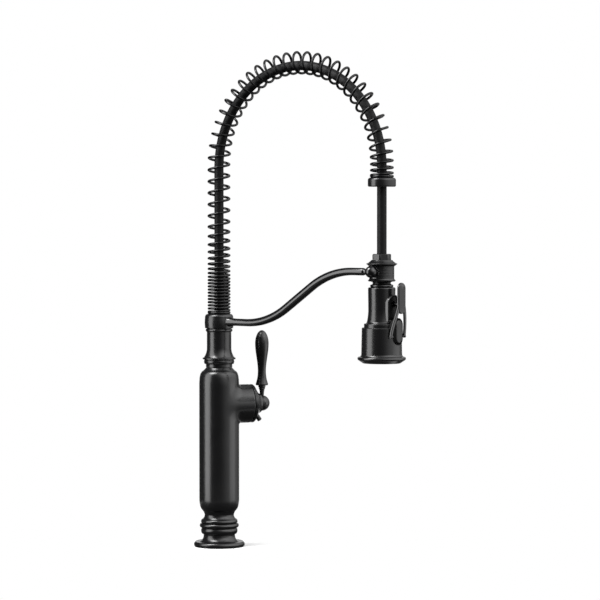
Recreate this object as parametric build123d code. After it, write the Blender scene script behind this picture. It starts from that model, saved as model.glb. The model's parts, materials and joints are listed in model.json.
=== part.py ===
"""Pull-down kitchen faucet with a coiled spring spout, a docking arm and a side lever.

Millimetres, +Z up. The origin is the centre of the base where it stands on the deck.
The spout reaches along +X at rest. The side lever stands on the handle axis, turned from +X.
"""
import math
import os

from build123d import *

# Fits and gaps
SLIP = 0.1          # radial clearance of a fixed seat
RUN = 0.05          # radial clearance of a running fit
AIR = 0.4           # gap between pieces that turn or slide past each other
EDGE = 0.8          # edge break on turned pieces
CUT = 1.0           # how far a cut runs past the face that it opens
QUARTER = 1 - math.sqrt(0.5)    # bulge of a quarter round, as a share of its radius
RIGHT_ANGLE = 90.0
HALVINGS = 60       # steps of a search by halving

# Foot on the deck
foot_r = 30.8
foot_lip_h = 5.6
foot_lip_step = 1.7
foot_round_low = 0.3
foot_round_top = 0.7
foot_h = 13.4
foot_cove = 3.4
socket_r = 14.0
socket_depth = 8.0
bushing_wall = 2.6
stem_r = 13.0
inlet_thread_r = 4.6
inlet_depth = 11.0
gasket_in_r = 21.0
gasket_w = 6.5
gasket_t = 1.5

# Ringed collar over the foot
collar_root_r = 18.7
collar_start_h = 1.6
beads = ((21.5, 7.6), (23.0, 5.0), (21.6, 5.0))     # radius and height of each turned bead
bead_round = 1.4
collar_cove_h = 5.6
collar_cove = 0.9
waist_r = 17.2

# Column shell
body_r = 23.6
body_wall = 3.0
body_h = 177.3
shoulder_low_h = 16.0
shoulder_low_bulge = 1.7
shoulder_top_h = 15.0
shoulder_top_bulge = 2.8
body_top_r = 15.4
body_floor = 3.5

# Side boss, cartridge and lever
handle_azimuth = 60.0
handle_drop = 44.3                                  # below the top of the column
boss_r = 23.3
boss_wall = 2.9
boss_reach = 38.2
boss_chamfer = 1.0
cartridge_r = 17.2
cartridge_seat = 3.0
cartridge_len = 29.0
cartridge_bore = 8.0
cartridge_bore_depth = 14.0
nut_h = 4.6
nut_hole_r = 12.0
bonnet_len = 13.6
bonnet_nose_r = 10.8
bonnet_lip = 1.2
bonnet_groove = 0.8
bonnet_rim = 1.6
bonnet_bulge = -0.6
ball_r = 9.4
ball_reach = 55.6
ball_wall = 2.4
ball_back = 4.6
post_r = 2.7
pivot_pin_r = 1.5
pivot_pin_inset = 0.6
nub_r = 2.8
nub_len = 7.6
nub_round = 0.87
nub_drop = 14.6
stem_low_r = 2.4
stem_top_r = 4.4
stem_len = 12.1
stem_tang_r = 2.2
stem_tang = 14.0
grip_len = 66.8
grip_foot_r = 6.4
grip_base_r = 7.6
grip_base_round = 0.4
grip_base_h = 1.6
grip_waist_r = 4.9
grip_waist_h = 17.6
grip_belly_r = 8.25
grip_belly_h = 50.7
grip_hollow = 1.6
grip_swell = 0.35

# Waterways in the column
valve_above = 20.5
valve_below = 22.0
tube_r = 3.6
tube_wall = 0.8
tube_pitch = 14.0
outlet_r = 6.4
outlet_wall = 1.2
outlet_overlap = 8.0

# Swivel neck
spindle_r = 10.85
spindle_len = 15.0
neck_bore_r = 7.0
seal_r = 0.8
seal_pitch = 6.0
ring_round = 0.6
swivel_flange_r = 16.0
swivel_flange_t = 2.0
neck_h = 43.0
neck_step_r = 15.4
neck_step_h = 4.2
neck_ring_r = 17.8
neck_ring_h = 5.6
neck_disc_r = 19.4
neck_disc_h = 2.6
neck_disc_edge = 1.5
neck_flare_r = 17.6
neck_flare_h = 14.0
neck_flare_cove = 0.9
neck_r = 14.3

# Arm hub
hub_h = 21.4
hub_ring_r = 15.6
hub_ring_h = 3.4
hub_groove_r = 14.6
hub_groove_h = 0.8
hub_barrel_r = 17.3
hub_shoulder_r = 16.9
hub_top_r = 14.2
hub_round = 2.8
hub_bore_r = 9.0
fitting_h = 15.0
fitting_cup = 8.0

# Spring spout and hose
arch_r = 120.0
leg_len = 178.3
end_leg_len = 15.1
coil_r = 12.6
wire_r = 1.35
coil_start = 0.43                                   # turns
pitch_tight = 3.8
pitch_open = 13.8
pitch_end = 4.4
tight_len = 41.5
ramp_len = 75.0
end_ramp_len = 42.0
arcs_per_turn = 3
tight_span_count = 2
open_span_count = 9
hose_r = 5.6
hose_wall = 1.6
hose_sag = 3.3
cap_h = 10.6
cap_r = 16.3
cap_round = 3.0
cap_edge = 1.0
hose_drop_len = 77.3

# Dock on the arm
dock_nut_flats = 20.0
dock_nut_h = 7.0
dock_nut_turn = -8.0
dock_cap_h = 7.1
dock_rim_r = 17.4
dock_rim_low_r = 15.3
dock_rim_up = 2.3
dock_rim_edge = 0.7
dock_cone_top_r = 12.2
dock_cone_cove = 0.5
dock_ring_r = 15.1
dock_ring_h = 17.6
dock_lip_r = 15.9
dock_lip_h = 2.6
dock_lip_edge = 1.0
dock_bore_r = 10.7
dock_magnet_h = 4.0
hose_room = 0.8
ball_joint_r = 6.6
ball_joint_angle = 264.0
ball_joint_out = 18.8
ball_joint_up = 11.3
dock_screw_r = 2.4
dock_screw_head = 1.3
arm_r = 4.4
arm_neck_r = 2.9
arm_taper = 6.0
arm_seat = 4.0
arm_start = 45.0
arm_end = 27.0
arm_straight = 49.0
arm_bend_r = 115.0
arm_root_up = 7.9                                   # over the hub's groove

# Spray head
spigot_len = 13.4
spigot_slack = 0.3
keeper_h = 2.0
coupling_r = 7.5
coupling_len = 20.0
head_neck_h = 6.4
head_neck_r = 12.6
head_neck_bead = 0.9
head_neck_cove = 0.45
upper_len = 39.7
upper_top_r = 15.9
upper_waist_r = 15.6
upper_waist_h = 14.0
upper_low_r = 17.1
upper_flare = 0.35
upper_round = 1.6
upper_wall = 2.9
step_h = 6.8
step_r = 20.5
step_rise = 2.2
step_edge = 1.2
step_round = 0.3
step_cove = 0.5
lower_len = 30.7
lower_top_r = 23.1
lower_low_r = 23.7
lower_wall = 2.6
rim_h = 10.5
rim_r = 28.1
rim_bead_low = 7.0
rim_bead_h = 3.8
rim_bead_round = 1.1
rim_cove = 0.9
rim_low_r = 21.9
face_t = 3.6
face_inset = 0.6
face_edge = 1.6
mat_t = 1.8
nozzle_r = 1.0
nozzle_out = 0.9
nozzle_rings = ((12.0, 12), (16.4, 18))             # radius and number of each nozzle ring
aerator_r = 7.6
aerator_lip = 1.6
aerator_sunk = 1.0
aerator_proud = 0.3
aerator_edge = 0.6
diverter_low_r = 12.0
diverter_foot_h = 3.0

# Thumb lever and button on the head
pad_half_w = 9.7
pad_foot = 1.0                                      # over the step ring
pad_len = 30.5
pad_proud = 1.4
plunger_up = 19.5                                   # over the foot of the pad
plunger_r = 2.0
plunger_hole_r = 3.5
lever_out = 10.7                                    # beyond the foot of the upper shell
lever_w = 13.0
lever_t = 2.4
lever_foot = 9.5                                    # over the step ring
lever_len = 36.0
leg_r = 1.6
leg_root_half = 4.3
leg_splay = 0.45
eye_r = 1.8
eye_w = 3.0
pivot_in = 0.6                                      # within the top of the lower shell
pivot_drop = 9.8
pivot_half = 12.4
pivot_r = 0.9
bezel_half_w = 8.2
bezel_len = 31.5
bezel_out = 1.2                                     # beyond the top of the lower shell
button_half_w = 6.4
button_len = 27.6
button_gap = 0.9
button_out = 1.2
button_stroke = 2.0
button_back = 3.2
button_drop = 4.2                                   # below the top of the lower shell
button_round = 1.2

# Levels worked out from the stack
collar_h = collar_start_h + sum(h for _, h in beads) + collar_cove_h
body_z = foot_h + collar_h
body_top_z = body_z + body_h
handle_z = body_top_z - handle_drop
neck_z = body_top_z + AIR
hub_z = neck_z + neck_h
spring_z = hub_z + hub_h
arch_z = spring_z + leg_len
reach = 2 * arch_r
cap_top_z = arch_z - end_leg_len
cap_z = cap_top_z - cap_h
dock_nut_z = cap_z - hose_drop_len - dock_nut_h
dock_cap_z = dock_nut_z - dock_cap_h
dock_z = dock_cap_z - dock_ring_h
barrel_z = hub_z + hub_ring_h + hub_groove_h
arm_root_z = barrel_z + arm_root_up
ball_joint_z = dock_z + ball_joint_up
head_neck_top_z = dock_z - AIR
upper_top_z = head_neck_top_z - head_neck_h
step_top_z = upper_top_z - upper_len
lower_top_z = step_top_z - step_h
rim_top_z = lower_top_z - lower_len
rim_low_z = rim_top_z - rim_h
upper_bore_r = upper_top_r - upper_wall
hose_hole_r = hose_r + hose_room
pad_low_z = step_top_z + pad_foot
pad_high_z = pad_low_z + pad_len
pad_front = upper_low_r + pad_proud
plunger_z = pad_low_z + plunger_up
lever_reach = upper_low_r + lever_out
lever_low_z = step_top_z + lever_foot
lever_top_z = lever_low_z + lever_len
pivot_x = lower_top_r - pivot_in
pivot_z = lower_top_z - pivot_drop
bezel_front = lower_top_r + bezel_out
button_z = lower_top_z - button_drop

handle_dir = Vector(math.cos(math.radians(handle_azimuth)), math.sin(math.radians(handle_azimuth)), 0)
handle_side = Vector(-handle_dir.Y, handle_dir.X, 0)
HANDLE = Plane(origin=(0, 0, handle_z), x_dir=(0, 0, 1), z_dir=handle_dir).location
HEAD = Pos(reach, 0, 0)


def turned(outline):
    """Turn an (r, z) outline about Z. A third number bulges the stretch that ends there."""
    edges = []
    for start, end in zip(outline, outline[1:] + outline[:1]):
        if len(end) == 3:
            edges.append(SagittaArc(start[:2], end[:2], -end[2]))
        else:
            edges.append(Line(start[:2], end[:2]))
    return revolve(Rot(90, 0, 0) * make_face(edges), Axis.Z)


def ring(outer, inner, low, high):
    """A plain ring about Z."""
    return turned([(inner, low), (outer, low), (outer, high), (inner, high)])


def rod(radius, low, high):
    """A plain round bar along Z."""
    return Pos(0, 0, low) * Cylinder(radius, high - low, align=(Align.CENTER, Align.CENTER, Align.MIN))


def across(radius, start, length):
    """A round bar along +X from start."""
    return Pos(start) * Rot(0, 90, 0) * rod(radius, 0, length)


def sideways(radius, centre, half):
    """A round bar along Y, centred."""
    return Pos(centre) * Rot(90, 0, 0) * Cylinder(radius, 2 * half)


def crossing(rising, low, high):
    """Where a rising function passes zero between low and high."""
    for _ in range(HALVINGS):
        middle = (low + high) / 2
        if rising(middle) < 0:
            low = middle
        else:
            high = middle
    return (low + high) / 2


def biarcs(points, tangents):
    """Tangent arcs, two for each pair of points, that leave and arrive along the tangents."""
    edges = []
    for p0, p1, t0, t1 in zip(points, points[1:], tangents, tangents[1:]):
        chord = p1 - p0
        both = t0 + t1
        spread = 2 * (1 - t0.dot(t1))
        along = chord.dot(both)
        if spread < 1e-9:
            reach_in = chord.dot(chord) / (4 * chord.dot(t1))
        else:
            reach_in = (math.sqrt(along**2 + spread * chord.dot(chord)) - along) / spread
        q0 = p0 + t0 * reach_in
        q1 = p1 - t1 * reach_in
        middle = (q0 + q1) * 0.5
        edges.append(TangentArc(p0, middle, tangent=t0))
        edges.append(TangentArc(middle, p1, tangent=(q1 - q0).normalized()))
    return edges


def tube_along(edges, outer, inner=0.0):
    """A round bar, or a tube, swept along joined edges."""
    path = Wire(edges)
    section = Circle(outer)
    if inner > 0:
        section -= Circle(inner)
    return sweep(Plane(origin=path @ 0, z_dir=path % 0) * section, path=path)


def base_parts():
    """Foot, gasket, ringed collar and the threaded bushing that takes the mounting shank."""
    seat_r = socket_r + bushing_wall
    flange_h = socket_depth + bushing_wall
    flange = turned([
        (seat_r + SLIP, 0), (gasket_in_r, 0), (gasket_in_r, gasket_t),
        (gasket_in_r + gasket_w, gasket_t), (gasket_in_r + gasket_w, 0),
        (foot_r - foot_lip_step / 2, 0), (foot_r, foot_lip_step, foot_round_low),
        (foot_r - foot_lip_step, foot_lip_h, foot_round_top), (collar_root_r, foot_h, -foot_cove),
        (stem_r + SLIP, foot_h), (stem_r + SLIP, flange_h), (seat_r + SLIP, flange_h)])
    gasket = ring(gasket_in_r + gasket_w - SLIP, gasket_in_r + SLIP, 0, gasket_t)
    level = foot_h + collar_start_h
    outline = [(stem_r + SLIP, foot_h), (collar_root_r, foot_h), (collar_root_r, level)]
    for radius, height in beads:
        outline += [(radius - bead_round, level), (radius - bead_round, level + height, bead_round)]
        level += height
    outline += [(waist_r, body_z, -collar_cove), (stem_r + SLIP, body_z)]
    bushing = turned([
        (socket_r, 0), (seat_r, 0), (seat_r, flange_h), (stem_r, flange_h),
        (stem_r, body_z + body_floor), (0, body_z + body_floor), (0, socket_depth), (socket_r, socket_depth)])
    for place in inlet_places():
        bushing -= Pos(place) * rod(inlet_thread_r, 0, socket_depth + inlet_depth)
        bushing -= Pos(place) * rod(tube_r - tube_wall, 0, body_z + body_floor + CUT)
        bushing -= Pos(place) * rod(tube_r + SLIP, body_z, body_z + body_floor + CUT)
    return {"base_gasket": gasket, "base_flange": flange, "base_collar": turned(outline),
            "shank_bushing": bushing}


def inlet_places():
    """Where the hot and the cold tube stand, either side of the column axis."""
    return [handle_side * (side * tube_pitch / 2) for side in (1, -1)]


def column_parts():
    """Column shell with its side boss, the valve body and the water tubes inside."""
    bore_r = body_r - body_wall
    hole_r = spindle_r + RUN + bushing_wall
    shell = turned([
        (stem_r + SLIP, body_z), (waist_r, body_z), (body_r, body_z + shoulder_low_h, shoulder_low_bulge),
        (body_r, body_top_z - shoulder_top_h), (body_top_r, body_top_z, shoulder_top_bulge),
        (hole_r + SLIP, body_top_z), (hole_r + SLIP, body_top_z - shoulder_top_h),
        (bore_r, body_top_z - shoulder_top_h), (bore_r, body_z + shoulder_low_h),
        (stem_r + SLIP, body_z + body_floor)])
    boss = Cylinder(boss_r, boss_reach, align=(Align.CENTER, Align.CENTER, Align.MIN))
    boss = chamfer(boss.edges().sort_by(Axis.Z)[-1], boss_chamfer)
    shell += HANDLE * boss
    shell -= rod(bore_r, body_z + shoulder_low_h, body_top_z - shoulder_top_h)
    shell -= HANDLE * rod(boss_r - boss_wall, 0, boss_reach + CUT)

    valve_low = handle_z - valve_below
    valve_high = handle_z + valve_above
    valve = rod(bore_r - SLIP, valve_low, valve_high)
    valve -= HANDLE * rod(cartridge_r + SLIP, cartridge_seat, body_r + CUT)
    outlet = ring(outlet_r, outlet_r - outlet_wall, valve_high, neck_z - spindle_len + outlet_overlap)
    valve -= rod(outlet_r - outlet_wall, handle_z, valve_high + CUT)
    parts = {"body_shell": shell, "outlet_tube": outlet}
    for name, place in zip(("hot_tube", "cold_tube"), inlet_places()):
        tube = ring(tube_r, tube_r - tube_wall, body_z, valve_low)
        parts[name] = Pos(place) * tube
        valve -= Pos(place) * rod(tube_r - tube_wall, valve_low - CUT, handle_z)
    parts["valve_body"] = valve
    parts["swivel_bushing"] = turned([
        (spindle_r + RUN, body_top_z - shoulder_top_h - swivel_flange_t),
        (swivel_flange_r, body_top_z - shoulder_top_h - swivel_flange_t),
        (swivel_flange_r, body_top_z - shoulder_top_h), (hole_r, body_top_z - shoulder_top_h),
        (hole_r, body_top_z), (spindle_r + RUN, body_top_z)])
    return parts


def cartridge_parts():
    """Ceramic cartridge, its nut, the turning carrier and the cone bonnet over them."""
    end = cartridge_seat + cartridge_len
    cartridge = HANDLE * (rod(cartridge_r, cartridge_seat, end)
                          - rod(cartridge_bore + RUN, end - cartridge_bore_depth, end + CUT))
    nut = HANDLE * ring(boss_r - boss_wall - SLIP, nut_hole_r, end, end + nut_h)
    bonnet_z = boss_reach + bonnet_groove
    nose_z = bonnet_z + bonnet_len
    cone_end = nose_z - bonnet_lip
    throat_r = ball_r + AIR
    skirt_r = boss_r - boss_wall - SLIP
    bonnet = turned([
        (nut_hole_r, end + nut_h), (skirt_r, end + nut_h), (skirt_r, bonnet_z), (boss_r, bonnet_z),
        (boss_r, bonnet_z + bonnet_rim), (bonnet_nose_r, cone_end, bonnet_bulge), (bonnet_nose_r, nose_z),
        (throat_r, nose_z),
        (throat_r, bonnet_z + bonnet_rim), (nut_hole_r, bonnet_z)])
    cone_len = cone_end - bonnet_z - bonnet_rim
    slope = math.atan2(boss_r - bonnet_nose_r, cone_len)
    share = (boss_r - nub_drop) / (boss_r - bonnet_nose_r)
    nub_at = bonnet_z + bonnet_rim + share * cone_len
    nub_place = Pos(-nub_drop, 0, nub_at) * Rot(0, -math.degrees(slope), 0)
    seat = nub_place * rod(nub_r + SLIP, bonnet_bulge, nub_len)
    nub = nub_place * fillet(rod(nub_r, bonnet_bulge, nub_len).edges().sort_by(Axis.Z)[-1], nub_round)
    carrier = rod(cartridge_bore, end - cartridge_bore_depth, end + nut_h)
    carrier += rod(post_r, end + nut_h, ball_reach + post_r)
    carrier -= sideways(pivot_pin_r + RUN, (0, 0, ball_reach), post_r + CUT)
    return {"cartridge": cartridge, "cartridge_nut": nut, "bonnet": HANDLE * (bonnet - seat),
            "bonnet_screw": HANDLE * nub, "mixer_carrier": HANDLE * carrier}


def lever_parts():
    """Hollow ball on a cross pin, the lever stem and the turned grip."""
    stem_top = ball_r + stem_len
    cavity = Sphere(ball_r - ball_wall)
    back = rod(ball_r, -ball_r, -ball_back)
    mouth = Pos(0, 0, -ball_back) * Cone(ball_r - ball_wall / 2, post_r, 2 * ball_back)
    ball = Sphere(ball_r) - cavity - back - mouth
    ball -= sideways(pivot_pin_r + SLIP, (0, 0, 0), ball_r + CUT)
    ball -= across(stem_tang_r + SLIP, (0, 0, 0), ball_r + CUT)
    centre = HANDLE * Pos(0, 0, ball_reach)
    pin = centre * sideways(pivot_pin_r, (0, 0, 0), ball_r - pivot_pin_inset)
    foot = Pos(handle_dir * ball_reach + Vector(0, 0, handle_z))
    stem_foot = math.sqrt(ball_r**2 - stem_low_r**2)
    stem = turned([
        (0, ball_r - ball_wall), (stem_tang_r, ball_r - ball_wall), (stem_tang_r, stem_foot + SLIP),
        (stem_low_r, ball_r + SLIP), (stem_top_r, stem_top), (stem_tang_r, stem_top),
        (stem_tang_r, stem_top + stem_tang), (0, stem_top + stem_tang)])
    grip = turned([
        (stem_tang_r + SLIP, 0), (grip_foot_r, 0), (grip_base_r, grip_base_h, grip_base_round),
        (grip_waist_r, grip_waist_h, -grip_hollow), (grip_belly_r, grip_belly_h, grip_swell),
        (0, grip_belly_h), (0, stem_tang), (stem_tang_r + SLIP, stem_tang)])
    dome_h = grip_len - grip_belly_h
    dome_edges = [
        EllipticalCenterArc((0, grip_belly_h), grip_belly_r, dome_h, 0, arc_size=RIGHT_ANGLE),
        Line((0, grip_len), (0, grip_belly_h)), Line((0, grip_belly_h), (grip_belly_r, grip_belly_h))]
    grip += revolve(Rot(90, 0, 0) * make_face(dome_edges), Axis.Z)
    return {"handle_ball": centre * ball, "handle_pin": pin, "lever_stem": foot * stem,
            "lever_grip": foot * Pos(0, 0, stem_top) * grip}


def neck_parts():
    """Turned swivel neck with its spindle and seals, and the barrel hub over it."""
    seal_levels = [neck_z - spindle_len / 2 + side * seal_pitch / 2 for side in (-1, 1)]
    disc_z = neck_z + neck_step_h + neck_ring_h
    neck = turned([
        (neck_bore_r, neck_z - spindle_len), (spindle_r, neck_z - spindle_len), (spindle_r, neck_z),
        (neck_step_r, neck_z), (neck_step_r, neck_z + neck_step_h),
        (neck_ring_r - ring_round, neck_z + neck_step_h), (neck_ring_r - ring_round, disc_z, ring_round),
        (neck_disc_r, disc_z), (neck_disc_r, disc_z + neck_disc_edge),
        (neck_flare_r, disc_z + neck_disc_h), (neck_r, disc_z + neck_flare_h, -neck_flare_cove),
        (neck_r, hub_z), (neck_bore_r, hub_z)])
    seal_at = spindle_r - seal_r - RUN
    seals = []
    for level in seal_levels:
        neck -= ring(spindle_r + CUT, seal_at - seal_r, level - seal_r - SLIP, level + seal_r + SLIP)
        seals.append(Pos(0, 0, level) * Torus(seal_at, seal_r))
    hub = turned([
        (hub_bore_r, hub_z), (hub_ring_r - ring_round, hub_z),
        (hub_ring_r - ring_round, hub_z + hub_ring_h, ring_round),
        (hub_groove_r, hub_z + hub_ring_h), (hub_groove_r, barrel_z), (hub_ring_r, barrel_z),
        (hub_shoulder_r, spring_z - hub_round, hub_barrel_r - (hub_ring_r + hub_shoulder_r) / 2),
        (hub_top_r, spring_z, QUARTER * hub_round), (hub_bore_r, spring_z)])
    socket_x = hub_barrel_r - arm_seat - SLIP
    hub -= arm_turn() * across(arm_r + SLIP, (socket_x, 0, arm_root_z), arm_seat + 2 * CUT)
    fitting = turned([
        (neck_bore_r - outlet_wall, hub_z), (hub_bore_r - SLIP, hub_z),
        (hub_bore_r - SLIP, hub_z + fitting_h),
        (hose_r + SLIP, hub_z + fitting_h), (hose_r + SLIP, hub_z + fitting_h - fitting_cup),
        (neck_bore_r - outlet_wall, hub_z + fitting_h - fitting_cup)])
    return {"spout_neck": neck, "swivel_seals": Compound(seals), "arm_hub": hub, "hose_fitting": fitting}


def arch_frame(s):
    """Centre and outward direction of the spring's centreline, s along it."""
    arch_len = math.pi * arch_r
    if s < leg_len:
        return Vector(0, 0, spring_z + s), Vector(-1, 0, 0)
    if s < leg_len + arch_len:
        turn = (s - leg_len) / arch_r
        outward = Vector(-math.cos(turn), 0, math.sin(turn))
        return Vector(arch_r, 0, arch_z) + outward * arch_r, outward
    return Vector(reach, 0, arch_z - (s - leg_len - arch_len)), Vector(1, 0, 0)


def ramp_turns(pitch_a, pitch_b, length, run):
    """Turns made over the first run of a stretch whose pitch goes evenly from a to b."""
    slope = (pitch_b - pitch_a) / length
    return math.log(1 + slope * run / pitch_a) / slope


def turns_at(s, total):
    """Turns of the spring from its foot to s: close coils, a ramp, open coils, a closing ramp."""
    turns = min(s, tight_len) / pitch_tight
    if s > tight_len:
        turns += ramp_turns(pitch_tight, pitch_open, ramp_len, min(s - tight_len, ramp_len))
    opened = tight_len + ramp_len
    closing = total - end_ramp_len
    if s > opened:
        turns += (min(s, closing) - opened) / pitch_open
    if s > closing:
        turns += ramp_turns(pitch_open, pitch_end, end_ramp_len, s - closing)
    return turns


def spring_spans_of_wire():
    """The coil round the arch, as wire spans that meet face to face."""
    total = leg_len + math.pi * arch_r + end_leg_len
    low = wire_r
    high = total - wire_r

    def wire_point(s):
        centre, outward = arch_frame(s)
        angle = 2 * math.pi * (coil_start + turns_at(s, total))
        return centre + outward * (coil_r * math.cos(angle)) - Vector(0, coil_r * math.sin(angle), 0)

    def wire_tangent(s):
        step = 1e-3
        return (wire_point(s + step) - wire_point(s - step)).normalized()

    def place_of(turn):
        return crossing(lambda s: turns_at(s, total) - turn, low, high)

    opened = tight_len + ramp_len
    marks = [low + (opened - low) * i / tight_span_count for i in range(tight_span_count)]
    marks += [opened + (high - opened) * i / open_span_count for i in range(open_span_count + 1)]
    spans = []
    for s0, s1 in zip(marks, marks[1:]):
        turn0 = turns_at(s0, total)
        turn1 = turns_at(s1, total)
        count = max(2, round((turn1 - turn0) * arcs_per_turn))
        stations = [s0] + [place_of(turn0 + (turn1 - turn0) * i / count) for i in range(1, count)] + [s1]
        edges = biarcs([wire_point(s) for s in stations], [wire_tangent(s) for s in stations])
        spans.append(tube_along(edges, wire_r))
    return spans


def spout_parts():
    """Spring, the hose inside it and the cap that ends the spring."""
    hose_low = hub_z + fitting_h - fitting_cup
    bend_z = arch_z - hose_sag
    hose_path = [
        Line((0, 0, hose_low), (0, 0, bend_z)),
        ThreePointArc((0, 0, bend_z), (arch_r, 0, bend_z + arch_r), (reach, 0, bend_z)),
        Line((reach, 0, bend_z), (reach, 0, cap_z))]
    cap = turned([
        (hose_r + SLIP, cap_z), (cap_r - cap_edge, cap_z), (cap_r, cap_z + cap_edge),
        (cap_r, cap_top_z - cap_round),
        (cap_r - cap_round, cap_top_z, QUARTER * cap_round), (hose_r + SLIP, cap_top_z)])
    return {"spring": Compound(spring_spans_of_wire()),
            "spout_hose": tube_along(hose_path, hose_r, hose_r - hose_wall), "spring_cap": HEAD * cap}


def ball_joint_place():
    """Centre of the arm's end ball, beside the dock."""
    angle = math.radians(ball_joint_angle)
    return Vector(reach + ball_joint_out * math.cos(angle), ball_joint_out * math.sin(angle), ball_joint_z)


def arm_turn():
    """Turn about Z from the spout's plane to the arm's plane."""
    place = ball_joint_place()
    return Rot(0, 0, math.degrees(math.atan2(place.Y, place.X)))


def arm_part():
    """Bent arm from the hub to the ball beside the dock: two bends with a straight between."""
    place = ball_joint_place()
    tip = math.hypot(place.X, place.Y)
    run = tip - arm_end - arm_start
    rise = ball_joint_z - arm_root_z
    chord = math.atan2(rise, run)

    def both_radii(bend):
        return (run * math.sin(bend) - rise * math.cos(bend)) / (1 - math.cos(bend))

    def straight_left(bend):
        return (run - both_radii(bend) * math.sin(bend)) / math.cos(bend)

    bend = crossing(lambda angle: arm_straight - straight_left(angle), chord, 2 * chord)
    arc = Vector(math.sin(bend), 0, 1 - math.cos(bend))
    root = Vector(hub_barrel_r - arm_seat, 0, arm_root_z)
    bend_a = Vector(arm_start, 0, arm_root_z)
    bend_b = bend_a + arc * (both_radii(bend) - arm_bend_r)
    bend_d = Vector(tip - arm_end, 0, ball_joint_z)
    bend_c = bend_d - arc * arm_bend_r
    taper_at = Vector(tip - ball_joint_r - arm_taper, 0, ball_joint_z)
    slope = (bend_c - bend_b).normalized()
    bar = tube_along([
        Line(root, bend_a), TangentArc(bend_a, bend_b, tangent=(1, 0, 0)), Line(bend_b, bend_c),
        TangentArc(bend_c, bend_d, tangent=slope), Line(bend_d, taper_at)], arm_r)
    taper = Pos(taper_at) * Rot(0, 90, 0) * Cone(
        arm_r, arm_neck_r, arm_taper, align=(Align.CENTER, Align.CENTER, Align.MIN))
    neck = across(arm_neck_r, taper_at, arm_taper + ball_joint_r)
    ball = Pos(tip, 0, ball_joint_z) * Sphere(ball_joint_r)
    arm = arm_turn() * (bar + taper + neck + ball)
    return arm - HEAD * rod(dock_ring_r + RUN, dock_z - dock_ring_h, dock_nut_z)


def dock_parts():
    """Ring that holds the head, with its cone cap, hexagon nut, magnet and screw."""
    rim_z = dock_cap_z + dock_rim_up
    dock_ring = turned([
        (dock_bore_r, dock_z), (dock_lip_r - dock_lip_edge, dock_z), (dock_lip_r, dock_z + dock_lip_h / 2),
        (dock_ring_r, dock_z + dock_lip_h), (dock_ring_r, dock_cap_z), (dock_bore_r, dock_cap_z)])
    cap = turned([
        (hose_hole_r, dock_cap_z), (dock_rim_low_r, dock_cap_z), (dock_rim_r, rim_z),
        (dock_rim_r, rim_z + dock_rim_edge), (dock_cone_top_r, dock_nut_z, -dock_cone_cove),
        (hose_hole_r, dock_nut_z)])
    hexagon = extrude(RegularPolygon(
        dock_nut_flats / 2, 6, major_radius=False, rotation=dock_nut_turn), dock_nut_h)
    hexagon = chamfer(hexagon.faces().sort_by(Axis.Z)[-1].edges(), EDGE)
    nut = Pos(0, 0, dock_nut_z) * hexagon - rod(hose_hole_r, dock_nut_z - CUT, dock_nut_z + dock_nut_h + CUT)
    magnet = ring(dock_bore_r - SLIP, hose_hole_r, dock_cap_z - dock_magnet_h, dock_cap_z)
    opposite = Pos(0, 0, ball_joint_z) * Rot(0, 0, ball_joint_angle + 180)
    wall = dock_ring_r - dock_bore_r
    dock_ring -= opposite * across(dock_screw_r / 2 + SLIP, (dock_bore_r - CUT, 0, 0), wall + 2 * CUT)
    screw = across(dock_screw_r, (dock_ring_r, 0, 0), dock_screw_head)
    screw = fillet(screw.edges().sort_by(Axis.X)[-1], dock_screw_head / 2)
    screw += across(dock_screw_r / 2, (dock_bore_r, 0, 0), wall + dock_screw_head / 2)
    return {"docking_arm": arm_part(), "dock_ring": HEAD * dock_ring, "dock_cap": HEAD * cap,
            "dock_nut": HEAD * nut, "dock_magnet": HEAD * magnet, "dock_screw": HEAD * opposite * screw}


def hose_end_parts():
    """Hanging hose and the coupling on its end, which the head turns on."""
    coupling_top = head_neck_top_z + spigot_len - keeper_h
    drop = ring(hose_r, hose_r - hose_wall, coupling_top, cap_z)
    coupling = ring(coupling_r, hose_r - hose_wall, coupling_top - coupling_len, coupling_top)
    return {"hose_drop": HEAD * drop, "hose_coupling": HEAD * coupling}


def upper_side():
    """Outer side of the upper shell, from its flared foot to the round at its top."""
    return [(upper_low_r, step_top_z), (upper_waist_r, step_top_z + upper_waist_h, -upper_flare),
            (upper_top_r, upper_top_z - upper_round)]


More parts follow.
